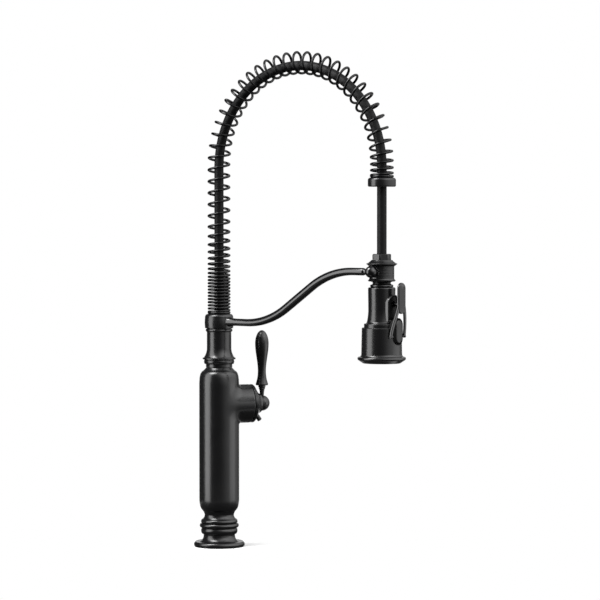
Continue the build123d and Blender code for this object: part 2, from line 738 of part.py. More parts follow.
def head_shell_parts():
    """Neck with its spigot, the two body shells, the step ring, the face rim and what is inside."""
    spigot_r = dock_bore_r - spigot_slack
    spigot_top = head_neck_top_z + spigot_len
    coupling_low = head_neck_top_z + spigot_len - keeper_h - coupling_len
    bead_top = upper_top_z + head_neck_h / 2
    neck = turned([
        (coupling_r + RUN, coupling_low), (upper_bore_r - SLIP, coupling_low),
        (upper_bore_r - SLIP, upper_top_z), (head_neck_r, upper_top_z),
        (head_neck_r, bead_top, head_neck_bead),
        (spigot_r, (bead_top + head_neck_top_z) / 2, -head_neck_cove),
        (head_neck_r, head_neck_top_z, -head_neck_cove), (spigot_r, head_neck_top_z),
        (spigot_r, spigot_top - keeper_h), (coupling_r + RUN, spigot_top - keeper_h)])
    keeper = ring(spigot_r, hose_hole_r, spigot_top - keeper_h, spigot_top)
    upper = turned([
        (upper_bore_r, step_top_z), *upper_side(),
        (upper_top_r - upper_round, upper_top_z, QUARTER * upper_round), (upper_bore_r, upper_top_z)])
    step = turned([
        (upper_bore_r, lower_top_z), (step_r, lower_top_z), (step_r, step_top_z - step_rise - step_edge),
        (step_r - EDGE, step_top_z - step_rise, step_round), (upper_low_r, step_top_z, -step_cove),
        (upper_bore_r, step_top_z)])
    lower = turned([
        (lower_low_r - lower_wall, rim_top_z), (lower_low_r, rim_top_z), (lower_top_r, lower_top_z - EDGE),
        (lower_top_r - EDGE, lower_top_z), (upper_bore_r, lower_top_z),
        (upper_bore_r, lower_top_z - lower_wall), (lower_top_r - lower_wall, lower_top_z - lower_wall)])
    face_r = rim_low_r - face_edge
    face_top = rim_low_z + face_inset + face_t
    bead_z = rim_top_z - rim_bead_low
    bead_root_r = rim_r - rim_bead_round
    rim = turned([
        (face_r, rim_low_z), (rim_low_r, rim_low_z), (bead_root_r, bead_z),
        (bead_root_r, bead_z + rim_bead_h, rim_bead_round),
        (lower_low_r, rim_top_z, -rim_cove), (lower_low_r - lower_wall, rim_top_z),
        (lower_low_r - lower_wall, face_top), (face_r, face_top)])
    core_low = face_top + mat_t + diverter_foot_h
    diverter = rod(upper_bore_r - SLIP, lower_top_z - lower_wall, coupling_low)
    diverter += rod(diverter_low_r, core_low, lower_top_z)
    diverter += rod(lower_low_r - lower_wall - SLIP, face_top + mat_t, core_low)
    diverter -= rod(aerator_r, face_top, core_low - CUT)
    diverter -= rod(hose_r - hose_wall, core_low - 2 * CUT, coupling_low + CUT)
    return {"head_neck": neck, "head_keeper": keeper, "upper_shell": upper, "step_ring": step,
            "lower_shell": lower, "face_rim": rim, "diverter_body": diverter}


def nozzle_places():
    """Centres of the spray nozzles, ring by ring."""
    places = []
    for radius, count in nozzle_rings:
        places += [location.position for location in PolarLocations(radius, count)]
    return places


def face_parts():
    """Spray face with its holes, the soft nozzle mat behind it and the aerator."""
    face_r = rim_low_r - face_edge - SLIP
    face_low = rim_low_z + face_inset
    face_top = face_low + face_t
    face = ring(face_r, aerator_r + SLIP, face_low, face_top)
    mat = ring(lower_low_r - lower_wall - SLIP, aerator_r + SLIP, face_top, face_top + mat_t)
    for place in nozzle_places():
        face -= Pos(place) * rod(nozzle_r + SLIP, face_low - CUT, face_top + CUT)
        mat += Pos(place) * rod(nozzle_r, face_low - nozzle_out, face_top + mat_t / 2)
    aerator = turned([
        (0, face_low + aerator_sunk), (aerator_r - aerator_lip, face_low + aerator_sunk),
        (aerator_r - aerator_lip, face_low), (aerator_r - aerator_edge, face_low - aerator_proud),
        (aerator_r - SLIP, face_low + aerator_edge), (aerator_r - SLIP, face_top + mat_t),
        (0, face_top + mat_t)])
    return {"spray_face": face, "nozzle_mat": mat, "aerator": aerator}


def stadium(half_w, length):
    """Upright rounded slot outline, facing +X."""
    return Plane.YZ * SlotOverall(length, 2 * half_w, rotation=90)


def head_envelope():
    """The head's body filled solid, to seat pieces on its outside."""
    return turned([
        (0, rim_top_z), (lower_low_r, rim_top_z), (lower_top_r, lower_top_z - EDGE),
        (lower_top_r - EDGE, lower_top_z), (step_r, lower_top_z),
        (step_r, step_top_z - step_rise - step_edge),
        (step_r - EDGE, step_top_z - step_rise, step_round), (upper_low_r, step_top_z, -step_cove),
        *upper_side()[1:], (0, upper_top_z - upper_round)])


def control_parts(shells):
    """Arched pad, bezel, pivots and button on the head; cuts their room out of the shells."""
    envelope = head_envelope()
    pad_mid = (pad_high_z + pad_low_z) / 2
    block = Pos(0, 0, button_z) * extrude(stadium(bezel_half_w, bezel_len), bezel_front)
    pocket = Pos(bezel_front - button_back - button_stroke - AIR, 0, button_z) * extrude(
        stadium(button_half_w + button_gap, button_len + 2 * button_gap), bezel_front)
    pad = Pos(0, 0, pad_low_z) * extrude(stadium(pad_half_w, 2 * pad_len), pad_front)
    pad &= Pos(0, 0, pad_mid) * Box(4 * upper_low_r, 4 * pad_half_w, pad_len)
    pad &= rod(pad_front, step_top_z, pad_high_z)
    hole = across(plunger_hole_r, (upper_bore_r - plunger_hole_r, 0, plunger_z), upper_low_r)
    pad = pad - envelope - block - hole
    bezel = block - envelope - pocket
    button = Pos(bezel_front - button_back, 0, button_z) * extrude(
        stadium(button_half_w, button_len), button_back + button_out)
    button = fillet(button.faces().sort_by(Axis.X)[-1].edges(), button_round)
    pins = []
    pin_half = (pivot_half + eye_w / 2 - button_half_w - button_gap - AIR) / 2
    for side in (-1, 1):
        place = (pivot_x, side * (pivot_half + eye_w / 2 - pin_half), pivot_z)
        pins.append(sideways(pivot_r, place, pin_half))
        bezel -= sideways(pivot_r + SLIP, place, pin_half)
        shells["lower_shell"] -= sideways(pivot_r + SLIP, place, pin_half)
    for name in ("lower_shell", "step_ring"):
        shells[name] -= pocket
    for name in ("upper_shell", "diverter_body"):
        shells[name] -= hole
    return {"lever_pad": pad, "button_bezel": bezel, "lever_pivots": Compound(pins), "boost_button": button}


def lever_part():
    """Wishbone thumb lever: a rounded paddle that splits into two bowed legs with eyes."""
    paddle = Pos(lever_reach - lever_t / 2, 0, (lever_top_z + lever_low_z) / 2) * extrude(
        stadium(lever_w / 2, lever_len), lever_t)
    lever = paddle
    down = Vector(0, 0, -1)
    for side in (-1, 1):
        root = Vector(lever_reach, side * leg_root_half, lever_low_z + lever_w / 2)
        foot = Vector(pivot_x, side * pivot_half, pivot_z)
        splay = Vector(0, side * leg_splay, -1).normalized()
        lever += tube_along(biarcs([root, foot], [splay, down]), leg_r)
        lever += sideways(eye_r, foot, eye_w / 2)
    lever -= sideways(pivot_r + RUN, (pivot_x, 0, pivot_z), pivot_half + eye_w)
    plunger = across(plunger_r, (pad_front, 0, plunger_z), lever_reach - lever_t / 2 - pad_front)
    return {"spray_lever": lever, "lever_plunger": plunger}


def head_parts():
    """The whole spray head, with its thumb lever and button."""
    parts = head_shell_parts()
    parts.update(face_parts())
    parts.update(control_parts(parts))
    parts.update(lever_part())
    return {name: HEAD * shape for name, shape in parts.items()}


nodes = {}
for make in (base_parts, column_parts, cartridge_parts, lever_parts, neck_parts, spout_parts, dock_parts,
             hose_end_parts, head_parts):
    nodes.update(make())

os.makedirs("parts", exist_ok=True)
for name, shape in nodes.items():
    export_step(shape, f"parts/{name}.step")
print(len(nodes), "nodes written")
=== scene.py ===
# %% [markdown]
# # A pull-down kitchen faucet with a spring spout
# The real faucet is turned and cast brass under a satin black coat. A coiled wire spring stands round a
# hose, and a bent arm holds a pull-down spray head. The construction comes in as a fixed frame of plain
# solids. This lesson dresses that frame: turned pieces with softened edges, a spring drawn by a rule,
# soft nozzles set out in rings, and a coat that scatters light the way a baked powder coat does.

# %% Load the frame
import json
import math
from functools import partial

import bmesh
import bpy
from mathutils import Matrix, Vector


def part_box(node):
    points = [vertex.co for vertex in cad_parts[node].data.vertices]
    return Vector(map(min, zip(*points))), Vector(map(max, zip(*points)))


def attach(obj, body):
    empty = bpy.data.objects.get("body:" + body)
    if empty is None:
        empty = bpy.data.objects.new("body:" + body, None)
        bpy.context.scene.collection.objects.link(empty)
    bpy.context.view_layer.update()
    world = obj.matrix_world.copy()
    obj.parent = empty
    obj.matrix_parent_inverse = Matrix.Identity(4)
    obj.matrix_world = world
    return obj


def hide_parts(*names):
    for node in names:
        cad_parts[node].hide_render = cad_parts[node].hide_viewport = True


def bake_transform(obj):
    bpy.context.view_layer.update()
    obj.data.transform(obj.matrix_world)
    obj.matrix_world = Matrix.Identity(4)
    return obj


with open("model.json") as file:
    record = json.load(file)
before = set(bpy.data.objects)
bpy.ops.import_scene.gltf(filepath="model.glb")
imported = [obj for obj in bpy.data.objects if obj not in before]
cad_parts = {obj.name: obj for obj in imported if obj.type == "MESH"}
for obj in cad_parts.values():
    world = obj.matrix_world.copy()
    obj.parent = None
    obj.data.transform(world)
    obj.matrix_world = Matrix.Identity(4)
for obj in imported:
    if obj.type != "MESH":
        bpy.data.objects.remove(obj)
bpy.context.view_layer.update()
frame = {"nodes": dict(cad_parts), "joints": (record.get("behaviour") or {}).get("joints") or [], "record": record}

nodes = frame["nodes"]
slot_of = {part["node"]: part["material_slot"] for part in frame["record"]["subparts"]}
joints = {joint["name"]: joint for joint in frame["joints"]}
MM = 0.001

# %% [markdown]
# ## A skin through loops
# Nearly every piece here is a row of loops with a skin between them: circles for a turned piece,
# circles along a path for a hose, rounded slots for a button. One helper makes that skin, so every mesh
# is clean quads. It also lays a wrap map on the skin: the turn round the loop, and the length along the
# piece in metres.

# %% Loops into a mesh
MERGE = 1e-7
CREASE = math.radians(50)


def steps_round(sides):
    """Angles in equal steps once round."""
    return [2 * math.pi * j / sides for j in range(sides)]


def linked(name, mesh):
    piece = bpy.data.objects.new(name, mesh)
    bpy.context.scene.collection.objects.link(piece)
    return piece


def joined(name, forms):
    """One object from several. The several are taken away."""
    whole = bmesh.new()
    for form in forms:
        whole.from_mesh(form.data)
        bpy.data.objects.remove(form)
    mesh = bpy.data.meshes.new(name)
    whole.to_mesh(mesh)
    whole.free()
    return linked(name, mesh)


def hermite(a, b, slope_a, slope_b, t):
    """A point on the curve that leaves a along one slope and arrives at b along the other."""
    return (a * (2 * t**3 - 3 * t**2 + 1) + slope_a * (t**3 - 2 * t**2 + t)
            + b * (3 * t**2 - 2 * t**3) + slope_b * (t**3 - t**2))


def loft(name, loops, closed=False, capped=False):
    """A skin through equal loops of points, in millimetres."""
    form = bmesh.new()
    wrap = form.loops.layers.uv.new("wrap")
    rows = [[form.verts.new(Vector(point) * MM) for point in loop] for loop in loops]
    bands = list(zip(rows, rows[1:]))
    if closed:
        bands.append((rows[-1], rows[0]))
    count = len(rows[0])
    length = 0.0
    for low, high in bands:
        rise = sum((a.co - b.co).length for a, b in zip(low, high)) / count
        for j in range(count):
            k = (j + 1) % count
            face = form.faces.new((low[j], low[k], high[k], high[j]))
            spots = ((j, length), (j + 1, length), (j + 1, length + rise), (j, length + rise))
            for corner, (turn, run) in zip(face.loops, spots):
                corner[wrap].uv = (turn / count, run)
        length += rise
    if capped:
        form.faces.new(rows[0])
        form.faces.new(rows[-1])
    bmesh.ops.remove_doubles(form, verts=form.verts, dist=MERGE)
    bmesh.ops.dissolve_degenerate(form, dist=MERGE, edges=form.edges)
    bmesh.ops.recalc_face_normals(form, faces=form.faces)
    for face in form.faces:
        face.smooth = True
    for edge in form.edges:
        edge.smooth = edge.calc_face_angle(0.0) < CREASE
    mesh = bpy.data.meshes.new(name)
    form.to_mesh(mesh)
    form.free()
    return linked(name, mesh)


def span(node):
    """Lowest and highest corner of a CAD node, in millimetres."""
    low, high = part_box(node)
    return low / MM, high / MM


print("loop helper ready")

# %% [markdown]
# ## Turned pieces with soft edges
# A lathe leaves crisp rings, but a coat of powder rounds every edge by a few tenths of a millimetre,
# and that round is what catches the light. A bevel modifier would do it too. Rounding the outline
# before it is turned is cheaper and never fails: each corner becomes a small curve, with a holding ring
# on either side, so that the flats beside it still shade flat. A third number on a point bulges the
# stretch that ends there.

# %% Outlines and the lathe
ARC_STEPS = 12
CORNER_STEPS = 4
SHARP = math.radians(12)
CORNER_SHARE = 0.45
HOLD_ROOM = 4
SOFT_EDGE = 0.35
SIDES = 112
UPRIGHT = Matrix.Identity(4)


def arc_between(start, end, bulge):
    """Points after start, up to end, on an arc that stands off to the right of the way there."""
    chord = end - start
    side = Vector((chord.y, -chord.x)).normalized()
    half = 2 * math.atan(2 * bulge / chord.length)
    points = []
    for i in range(1, ARC_STEPS + 1):
        turn = half * (2 * i / ARC_STEPS - 1)
        along = (math.sin(turn) / math.sin(half) + 1) / 2
        off = (math.cos(turn) - math.cos(half)) / math.sin(half) * chord.length / 2
        points.append(start + chord * along + side * off)
    return points


def soft_corner(before, corner, after, edge):
    """A corner as a short curve with holding points beside it."""
    into = corner - before
    out = after - corner
    if into.angle(out) < SHARP:
        return [corner]
    back = min(edge, CORNER_SHARE * into.length, CORNER_SHARE * out.length)
    start = corner - into.normalized() * back
    end = corner + out.normalized() * back
    points = []
    if into.length > HOLD_ROOM * back:
        points.append(start - into.normalized() * back)
    for i in range(CORNER_STEPS + 1):
        t = i / CORNER_STEPS
        points.append(start * (1 - t) ** 2 + corner * (2 * t * (1 - t)) + end * t**2)
    if out.length > HOLD_ROOM * back:
        points.append(end + out.normalized() * back)
    return points


def softened(outline, edge, closed):
    """An (r, z) outline with its arcs drawn out and its corners rounded."""
    drawn = []
    for index, point in enumerate(outline):
        here = Vector(point[:2])
        if len(point) == 3:
            arc = arc_between(Vector(outline[index - 1][:2]), here, point[2])
            drawn += [(spot, False) for spot in arc[:-1]]
        drawn.append((here, True))
    soft = []
    for index, (here, is_corner) in enumerate(drawn):
        at_end = not closed and index in (0, len(drawn) - 1)
        if is_corner and not at_end:
            after = drawn[(index + 1) % len(drawn)][0]
            soft += soft_corner(drawn[index - 1][0], here, after, edge)
        else:
            soft.append(here)
    return soft


def circle(radius, height, place, sides):
    return [place @ Vector((radius * math.cos(t), radius * math.sin(t), height))
            for t in steps_round(sides)]


def turned(name, outline, place=UPRIGHT, edge=SOFT_EDGE, sides=SIDES):
    """A turned piece. An outline that starts and ends on the axis is solid, and any other is a ring."""
    solid = outline[0][0] == 0 and outline[-1][0] == 0
    profile = softened(outline, edge, not solid)
    return loft(name, [circle(r, z, place, sides) for r, z in profile], closed=not solid)


print("lathe ready,", SIDES, "sides")

# %% [markdown]
# ## The finishes
# Every finish is worked out from noise on Object coordinates, so it sits still in the piece and needs
# no picture. The coat is nearly black, a little uneven in gloss, with a very fine orange peel. A flat
# dark colour would look like a hole in the picture: what shows a black object is how its highlights
# spread.

# %% Finish helpers
GREY_FROM, GREY_TO = 0.3, 0.7
MIX_DARK, MIX_LIGHT, MIX_RESULT = 6, 7, 2


def add_node(tree, kind, links=(), **settings):
    """One node, with its settings, and its inputs linked or set by name or number."""
    node = tree.nodes.new(kind)
    for key, value in settings.items():
        setattr(node, key, value)
    for title, value in dict(links).items():
        if isinstance(value, bpy.types.NodeSocket):
            tree.links.new(value, node.inputs[title])
        else:
            node.inputs[title].default_value = value
    return node


def blank_finish(name):
    finish = bpy.data.materials.new(name)
    finish.use_nodes = True
    tree = finish.node_tree
    return finish, tree, tree.nodes["Principled BSDF"]


def object_place(tree):
    return tree.nodes.new("ShaderNodeTexCoord").outputs["Object"]


def noise(tree, place, scale, detail=2.0):
    links = {"Vector": place, "Scale": scale, "Detail": detail}
    return add_node(tree, "ShaderNodeTexNoise", links).outputs["Fac"]


def between(tree, share, low, high):
    """A number that runs from low to high as the share runs over the middle of its range."""
    links = {"Value": share, "From Min": GREY_FROM, "From Max": GREY_TO, "To Min": low, "To Max": high}
    return add_node(tree, "ShaderNodeMapRange", links).outputs["Result"]


def shades(tree, share, dark, light):
    links = {"Factor": share, MIX_DARK: (*dark, 1), MIX_LIGHT: (*light, 1)}
    return add_node(tree, "ShaderNodeMix", links, data_type="RGBA").outputs[MIX_RESULT]


def relief(tree, shader, height, depth, strength=1.0):
    links = {"Height": height, "Distance": depth, "Strength": strength}
    bump = add_node(tree, "ShaderNodeBump", links)
    tree.links.new(bump.outputs["Normal"], shader.inputs["Normal"])


def grained(name, dark, light, rough, grain, depth, specular=0.5, metallic=0.0, mottle=45.0):
    """A finish with uneven colour and gloss over a fine grain. Grain is in cells per metre."""
    finish, tree, shader = blank_finish(name)
    place = object_place(tree)
    cloud = noise(tree, place, mottle, 4.0)
    tree.links.new(shades(tree, cloud, dark, light), shader.inputs["Base Color"])
    tree.links.new(between(tree, cloud, *rough), shader.inputs["Roughness"])
    relief(tree, shader, noise(tree, place, grain), depth)
    shader.inputs["Specular IOR Level"].default_value = specular
    shader.inputs["Metallic"].default_value = metallic
    return finish


print("finish helpers ready")

# %% [markdown]
# The black coat goes on almost everything. The arm, the thumb lever, the pad behind it and the spring
# wear it smoother, because drawn rod and wire and polished castings are smoother under it. The moulded
# plastic of the head is duller. The bezel and the sheet in the pad's dish wear painted shade: a darker,
# duller black that stands in for the shade in the gap round the button and under the paddle.

# %% Black coats and plastics
finishes = {}
finishes["black_metal"] = grained(
    "satin_black_coat", (0.0034, 0.0034, 0.0037), (0.0052, 0.0052, 0.0056), (0.23, 0.27),
    2600, 0.15e-6, specular=0.55)
finishes["smooth_metal"] = grained(
    "drawn_black_coat", (0.0030, 0.0030, 0.0033), (0.0046, 0.0046, 0.0050), (0.14, 0.17),
    2600, 0.05e-6, specular=0.6)
finishes["black_spring"] = grained(
    "spring_wire_coat", (0.0018, 0.0018, 0.0020), (0.0030, 0.0030, 0.0033), (0.18, 0.22),
    2600, 0.05e-6, specular=0.3)
finishes["black_plastic"] = grained(
    "moulded_black", (0.0060, 0.0060, 0.0064), (0.0100, 0.0100, 0.0105), (0.40, 0.48), 3800, 1.6e-6)
# Painted shade: a darker, duller black that stands in for the shade in the button's gap and the pad's dish.
finishes["painted_shade_black"] = grained(
    "painted_shade_coat", (0.0016, 0.0016, 0.0017), (0.0026, 0.0026, 0.0028), (0.58, 0.68),
    3800, 1.0e-6, specular=0.15)
finishes["nozzle_rubber"] = grained(
    "soft_grey_silicone", (0.040, 0.040, 0.042), (0.062, 0.062, 0.064), (0.55, 0.68), 5200, 3.0e-6)
finishes["seal_rubber"] = grained(
    "seal_rubber", (0.010, 0.010, 0.010), (0.020, 0.020, 0.020), (0.60, 0.75), 4200, 4.0e-6)
print(sorted(finishes))

# %% [markdown]
# Inside sit brass castings, copper tubes, steel pins and white bearing plastic. They show from below
# and when the head is pulled, so they get the same care: cast brass is mottled, drawn copper is smooth,
# and steel is bright and even.

# %% Metals and bearing plastic inside
finishes["brass"] = grained(
    "cast_brass", (0.50, 0.34, 0.13), (0.66, 0.47, 0.20), (0.30, 0.44), 1800, 6.0e-6,
    metallic=1.0, mottle=90.0)
finishes["copper_tube"] = grained(
    "drawn_copper", (0.58, 0.25, 0.14), (0.72, 0.34, 0.20), (0.22, 0.34), 1500, 2.0e-6,
    metallic=1.0, mottle=70.0)
finishes["steel"] = grained(
    "bright_steel", (0.42, 0.42, 0.43), (0.56, 0.56, 0.57), (0.24, 0.34), 2400, 2.0e-6,
    metallic=1.0, mottle=120.0)
finishes["bearing_plastic"] = grained(
    "white_bearing_plastic", (0.66, 0.65, 0.61), (0.74, 0.73, 0.69), (0.38, 0.48), 3000, 2.0e-6)
print(len(finishes), "finishes")

# %% [markdown]
# The hose wears a fine woven sleeve. The weave follows the hose, so it reads the wrap map: two sets of
# strands run round it in opposite ways, and the product of the two waves is the diamond where they
# cross.

# %% Woven sleeve
STRANDS = 16
STRANDS_PER_METRE = 480.0
STRAND_DEPTH = 6.0e-5
STRAND_RELIEF = 0.06


def calc(tree, operation, *values):
    """One math node. Each value is a number or a socket."""
    node = tree.nodes.new("ShaderNodeMath")
    node.operation = operation
    for socket, value in zip(node.inputs, values):
        if isinstance(value, (int, float)):
            socket.default_value = value
        else:
            tree.links.new(value, socket)
    return node.outputs[0]


def woven_sleeve():
    finish, tree, shader = blank_finish("woven_hose_sleeve")
    wrap = add_node(tree, "ShaderNodeUVMap", uv_map="wrap")
    split = add_node(tree, "ShaderNodeSeparateXYZ", {0: wrap.outputs["UV"]})
    round_turn = calc(tree, "MULTIPLY", split.outputs["X"], STRANDS * math.pi)
    along = calc(tree, "MULTIPLY", split.outputs["Y"], STRANDS_PER_METRE * math.pi)
    left, right = (calc(tree, "ABSOLUTE", calc(tree, "SINE", calc(tree, way, round_turn, along)))
                   for way in ("ADD", "SUBTRACT"))
    diamonds = calc(tree, "MULTIPLY", left, right)
    colour = shades(tree, diamonds, (0.0022, 0.0022, 0.0024), (0.0044, 0.0044, 0.0047))
    tree.links.new(colour, shader.inputs["Base Color"])
    tree.links.new(between(tree, diamonds, 0.60, 0.50), shader.inputs["Roughness"])
    shader.inputs["Specular IOR Level"].default_value = 0.2
    relief(tree, shader, diamonds, STRAND_DEPTH, STRAND_RELIEF)
    return finish


finishes["hose_black"] = woven_sleeve()
print("sleeve with", STRANDS, "strands each way")

# %% [markdown]
# One call then does for a piece what has to be done for each: give it a finish, hang it on the body it
# moves with, and name the plain solids that it stands for.

# %% Dress a piece


def dress(piece, body, slot, *replaced, finish=None):
    piece.data.materials.clear()
    piece.data.materials.append(finishes[finish or slot])
    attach(piece, body)
    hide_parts(*replaced)
    print(piece.name, len(piece.data.polygons), "faces on", body)
    return piece


for node, solid in nodes.items():
    solid.data.materials.clear()
    solid.data.materials.append(finishes[slot_of[node]])
print(len(nodes), "CAD nodes have their finish")

# %% [markdown]
# ## Foot and ringed collar
# The foot is a turned flange with a hollow curve up to its neck. Over it stands a collar of three
# beads, which on the real faucet is one turned sleeve. The beads differ, so they are a short list, and
# a loop draws them.

# %% Foot
foot_high = span("base_flange")[1]
collar_high = span("base_collar")[1]
foot_trim = 0.4
foot_r = foot_high.x - foot_trim
foot_h = foot_high.z
foot_hollow = -3.4
lip_step = 1.7
lip_h = 5.6
lip_bulges = (0.3, 0.7)
bore_r = 13.1
bushing_r = 16.7
bushing_h = 10.6
gasket_r = (21.0, 27.5)
gasket_h = 1.5
collar_root_r = 18.9
foot = turned("foot", [
    (bushing_r, 0), (gasket_r[0], 0), (gasket_r[0], gasket_h), (gasket_r[1], gasket_h),
    (gasket_r[1], 0), (foot_r - lip_step / 2, 0), (foot_r, lip_step, lip_bulges[0]),
    (foot_r - lip_step, lip_h, lip_bulges[1]), (collar_root_r, foot_h, foot_hollow),
    (bore_r, foot_h), (bore_r, bushing_h), (bushing_r, bushing_h)])
dress(foot, "column", "black_metal", "base_flange")

# %% Ringed collar
collar_start_h = 1.6
beads = ((22.0, 7.6), (23.6, 5.0), (22.1, 5.0))
bead_round = 1.4
waist_r = 17.7
waist_hollow = -0.9
level = foot_h + collar_start_h
collar_outline = [(bore_r, foot_h), (collar_root_r, foot_h), (collar_root_r, level)]
for bead_r, bead_h in beads:
    root_r = bead_r - bead_round
    collar_outline += [(root_r, level), (root_r, level + bead_h, bead_round)]
    level += bead_h
collar_outline += [(waist_r, collar_high.z, waist_hollow), (bore_r, collar_high.z)]
dress(turned("ringed_collar", collar_outline), "column", "black_metal", "base_collar")

# %% [markdown]
# ## Column shell
# The column is a turned shell with a boss cast on its side for the cartridge. Its shoulders are ogees:
# a hollow, then a round that runs out slowly into the straight side. The boss is almost as thick as the
# column, so a plain union would show a sharp star where the two cross. A casting has a fillet there.
# Each line of the boss therefore starts on the column, leaves it along the surface and bends over into
# the boss: tightly above and below, where the forms meet square, and slowly at the sides, where they
# nearly touch.

# %% The boss axis
boss_axis = Vector(joints["temperature_turn"]["axis"]).normalized()
boss_z = joints["temperature_turn"]["pos_m"][2] / MM
up = Vector((0, 0, 1))
side_axis = boss_axis.cross(up)
boss_turn = Matrix((up, -side_axis, boss_axis)).transposed().to_4x4()
boss_place = Matrix.Translation((0, 0, boss_z)) @ boss_turn
ball_place = Matrix.Translation(Vector(joints["flow_lift"]["pos_m"]) / MM)
print("boss axis", [round(v, 3) for v in boss_axis])

# %% Turned column
shell_low, shell_high = span("body_shell")
body_r = 24.1
body_top_r = 15.9
foot_z, top_z = shell_low.z, shell_high.z
straight_end = 22.0
# Rows of a shoulder: a radius, how far it lies from that end of the column, and a bulge.
foot_ogee = ((20.4, 5.4, -0.45), (23.1, 10.4, 0.35), (body_r, 19.0, 0.22))
top_ogee = ((23.5, 11.4, 0.18), (22.7, 7.8, 0.08), (20.4, 4.3, 0.25), (body_top_r, 0.0, -0.33))
column_outline = [(0, foot_z), (waist_r, foot_z)]
column_outline += [(r, foot_z + above, bulge) for r, above, bulge in foot_ogee]
column_outline.append((body_r, top_z - straight_end))
column_outline += [(r, top_z - below, bulge) for r, below, bulge in top_ogee]
column_form = turned("column_form", column_outline + [(0, top_z)])
print("column", round(top_z - foot_z, 1), "mm tall")

# %% Boss with its fillet
boss_r = 23.3
boss_reach = 38.2
boss_edge = 0.9
boss_end_len = 6.0
FILLET_STEPS = 14
FILLET_SHORT = 2.2
FILLET_LONG = 9.0


def boss_line(turn):
    """Fillet points of the boss's line at a turn, from the column's skin to the boss."""
    rise, aside = boss_r * math.cos(turn), boss_r * math.sin(turn)
    spread = math.asin(aside / body_r)
    meeting = Vector((rise, aside, body_r * math.cos(spread)))
    boss_out = Vector((math.cos(turn), math.sin(turn), 0))
    column_out = Vector((0, math.sin(spread), math.cos(spread)))
    leave = (boss_out - column_out * boss_out.dot(column_out)).normalized()
    length = FILLET_SHORT + FILLET_LONG * math.sin(turn) ** 2
    round_share = leave.dot(Vector((0, math.cos(spread), -math.sin(spread))))
    away = spread + length * round_share / body_r
    start = Vector((rise + length * leave.x, body_r * math.sin(away), body_r * math.cos(away)))
    slope = Vector((-leave.x, -round_share * math.cos(away), round_share * math.sin(away)))
    end = meeting + Vector((0, 0, length))
    pull = (end - start).length
    return [hermite(start, end, slope * pull, Vector((0, 0, pull)), i / FILLET_STEPS)
            for i in range(FILLET_STEPS + 1)]


BOSS_SIDES = 200
lines = [boss_line(turn) for turn in steps_round(BOSS_SIDES)]
boss_loops = [[boss_place @ Vector((0, 0, 0))] * BOSS_SIDES]
boss_loops += [[boss_place @ line[i] for line in lines] for i in range(FILLET_STEPS + 1)]
boss_end = softened([(boss_r, boss_reach - boss_end_len), (boss_r, boss_reach), (0, boss_reach)],
                    boss_edge, False)
boss_loops += [circle(r, z, boss_place, BOSS_SIDES) for r, z in boss_end]
column = joined("column_shell", [column_form, loft("boss_form", boss_loops)])
dress(column, "column", "black_metal", "body_shell")

# %% [markdown]
# ## Side control
# A cone bonnet closes the boss on the column. Its nose is a ring round the ball that the lever stands
# on, so the ball can turn in it. The bonnet is drawn on the boss's axis, which the frame's own joint
# gives. A small socket screw sits low on the cone.

# %% Bonnet
bonnet_gap = 0.8
bonnet_z = boss_reach + bonnet_gap
bonnet_rim = 3.2
bonnet_root_r = 22.9
bonnet_len = 13.6
bonnet_lip = 2.4
nose_r = 12.2
nose_taper = 0.7
cone_hollow = -0.3
throat_r = 9.8
skirt_r = 20.3
skirt_z = 36.6
hole_r = 12.0
nose_z = bonnet_z + bonnet_len
cone_z = bonnet_z + bonnet_rim
cone_len = bonnet_len - bonnet_rim - bonnet_lip
bonnet = turned("cone_bonnet", [
    (hole_r, skirt_z), (skirt_r, skirt_z), (skirt_r, bonnet_z), (bonnet_root_r, bonnet_z),
    (boss_r, cone_z), (nose_r, cone_z + cone_len, cone_hollow), (nose_r - nose_taper, nose_z),
    (throat_r, nose_z), (throat_r, cone_z), (hole_r, bonnet_z)], boss_place, edge=0.3)
dress(bonnet, "column", "black_metal", "bonnet")

# %% Socket screws
HEX_SIDES = 6
SCREW_SIDES = 48
SOCKET_EDGE = 0.15


def hexagon(flats, angle):
    """Distance from the middle of a hexagon to its side, at an angle."""
    sector = 2 * math.pi / HEX_SIDES
    return flats / 2 / math.cos((angle + sector / 2) % sector - sector / 2)


def socket_screw(name, radius, low, high, edge, place, flats, depth):
    """A round head with a hexagon socket, standing along Z of its place."""
    def socket(z, more=0.0):
        spots = [(hexagon(flats, t) + more, t) for t in steps_round(SCREW_SIDES)]
        return [place @ Vector((r * math.cos(t), r * math.sin(t), z)) for r, t in spots]

    rounded = [(radius, high - edge)]
    for i in range(1, CORNER_STEPS + 1):
        lean = math.pi / 2 * i / CORNER_STEPS
        rounded.append((radius - edge * (1 - math.cos(lean)), high - edge + edge * math.sin(lean)))
    loops = [circle(r, z, place, SCREW_SIDES) for r, z in ((0.0, low), (radius, low), *rounded)]
    loops += [socket(high, SOCKET_EDGE), socket(high - SOCKET_EDGE), socket(high - depth)]
    loops.append(circle(0.0, high - depth, place, SCREW_SIDES))
    return loft(name, loops)


nub_drop = 14.6
nub_r = 2.8
nub_len = 7.6
cone_slope = math.atan2(boss_r - nose_r, cone_len)
nub_z = cone_z + (boss_r - nub_drop) / (boss_r - nose_r) * cone_len
nub_place = (boss_place @ Matrix.Translation((-nub_drop, 0, nub_z))
             @ Matrix.Rotation(-cone_slope, 4, "Y"))
nub = socket_screw("bonnet_socket_screw", nub_r, low=-0.6, high=nub_len, edge=0.7, place=nub_place,
                   flats=2.5, depth=2.0)
dress(nub, "column", "black_metal", "bonnet_screw")

# %% [markdown]
# ## Lever
# The lever is a turned baluster: a flat foot, a slim waist, a full belly and a round end. On the lathe
# that is one flowing line, so its radius is a formula of the height and not a string of arcs, which
# would show as rings.

# %% Stem
ball_r = 9.4
stem_top = 21.5
tang_r = 2.2
tang_in = 2.4
tang_out = 0.2
stem_foot = (2.4, 0.1)
stem_top_r = 4.4
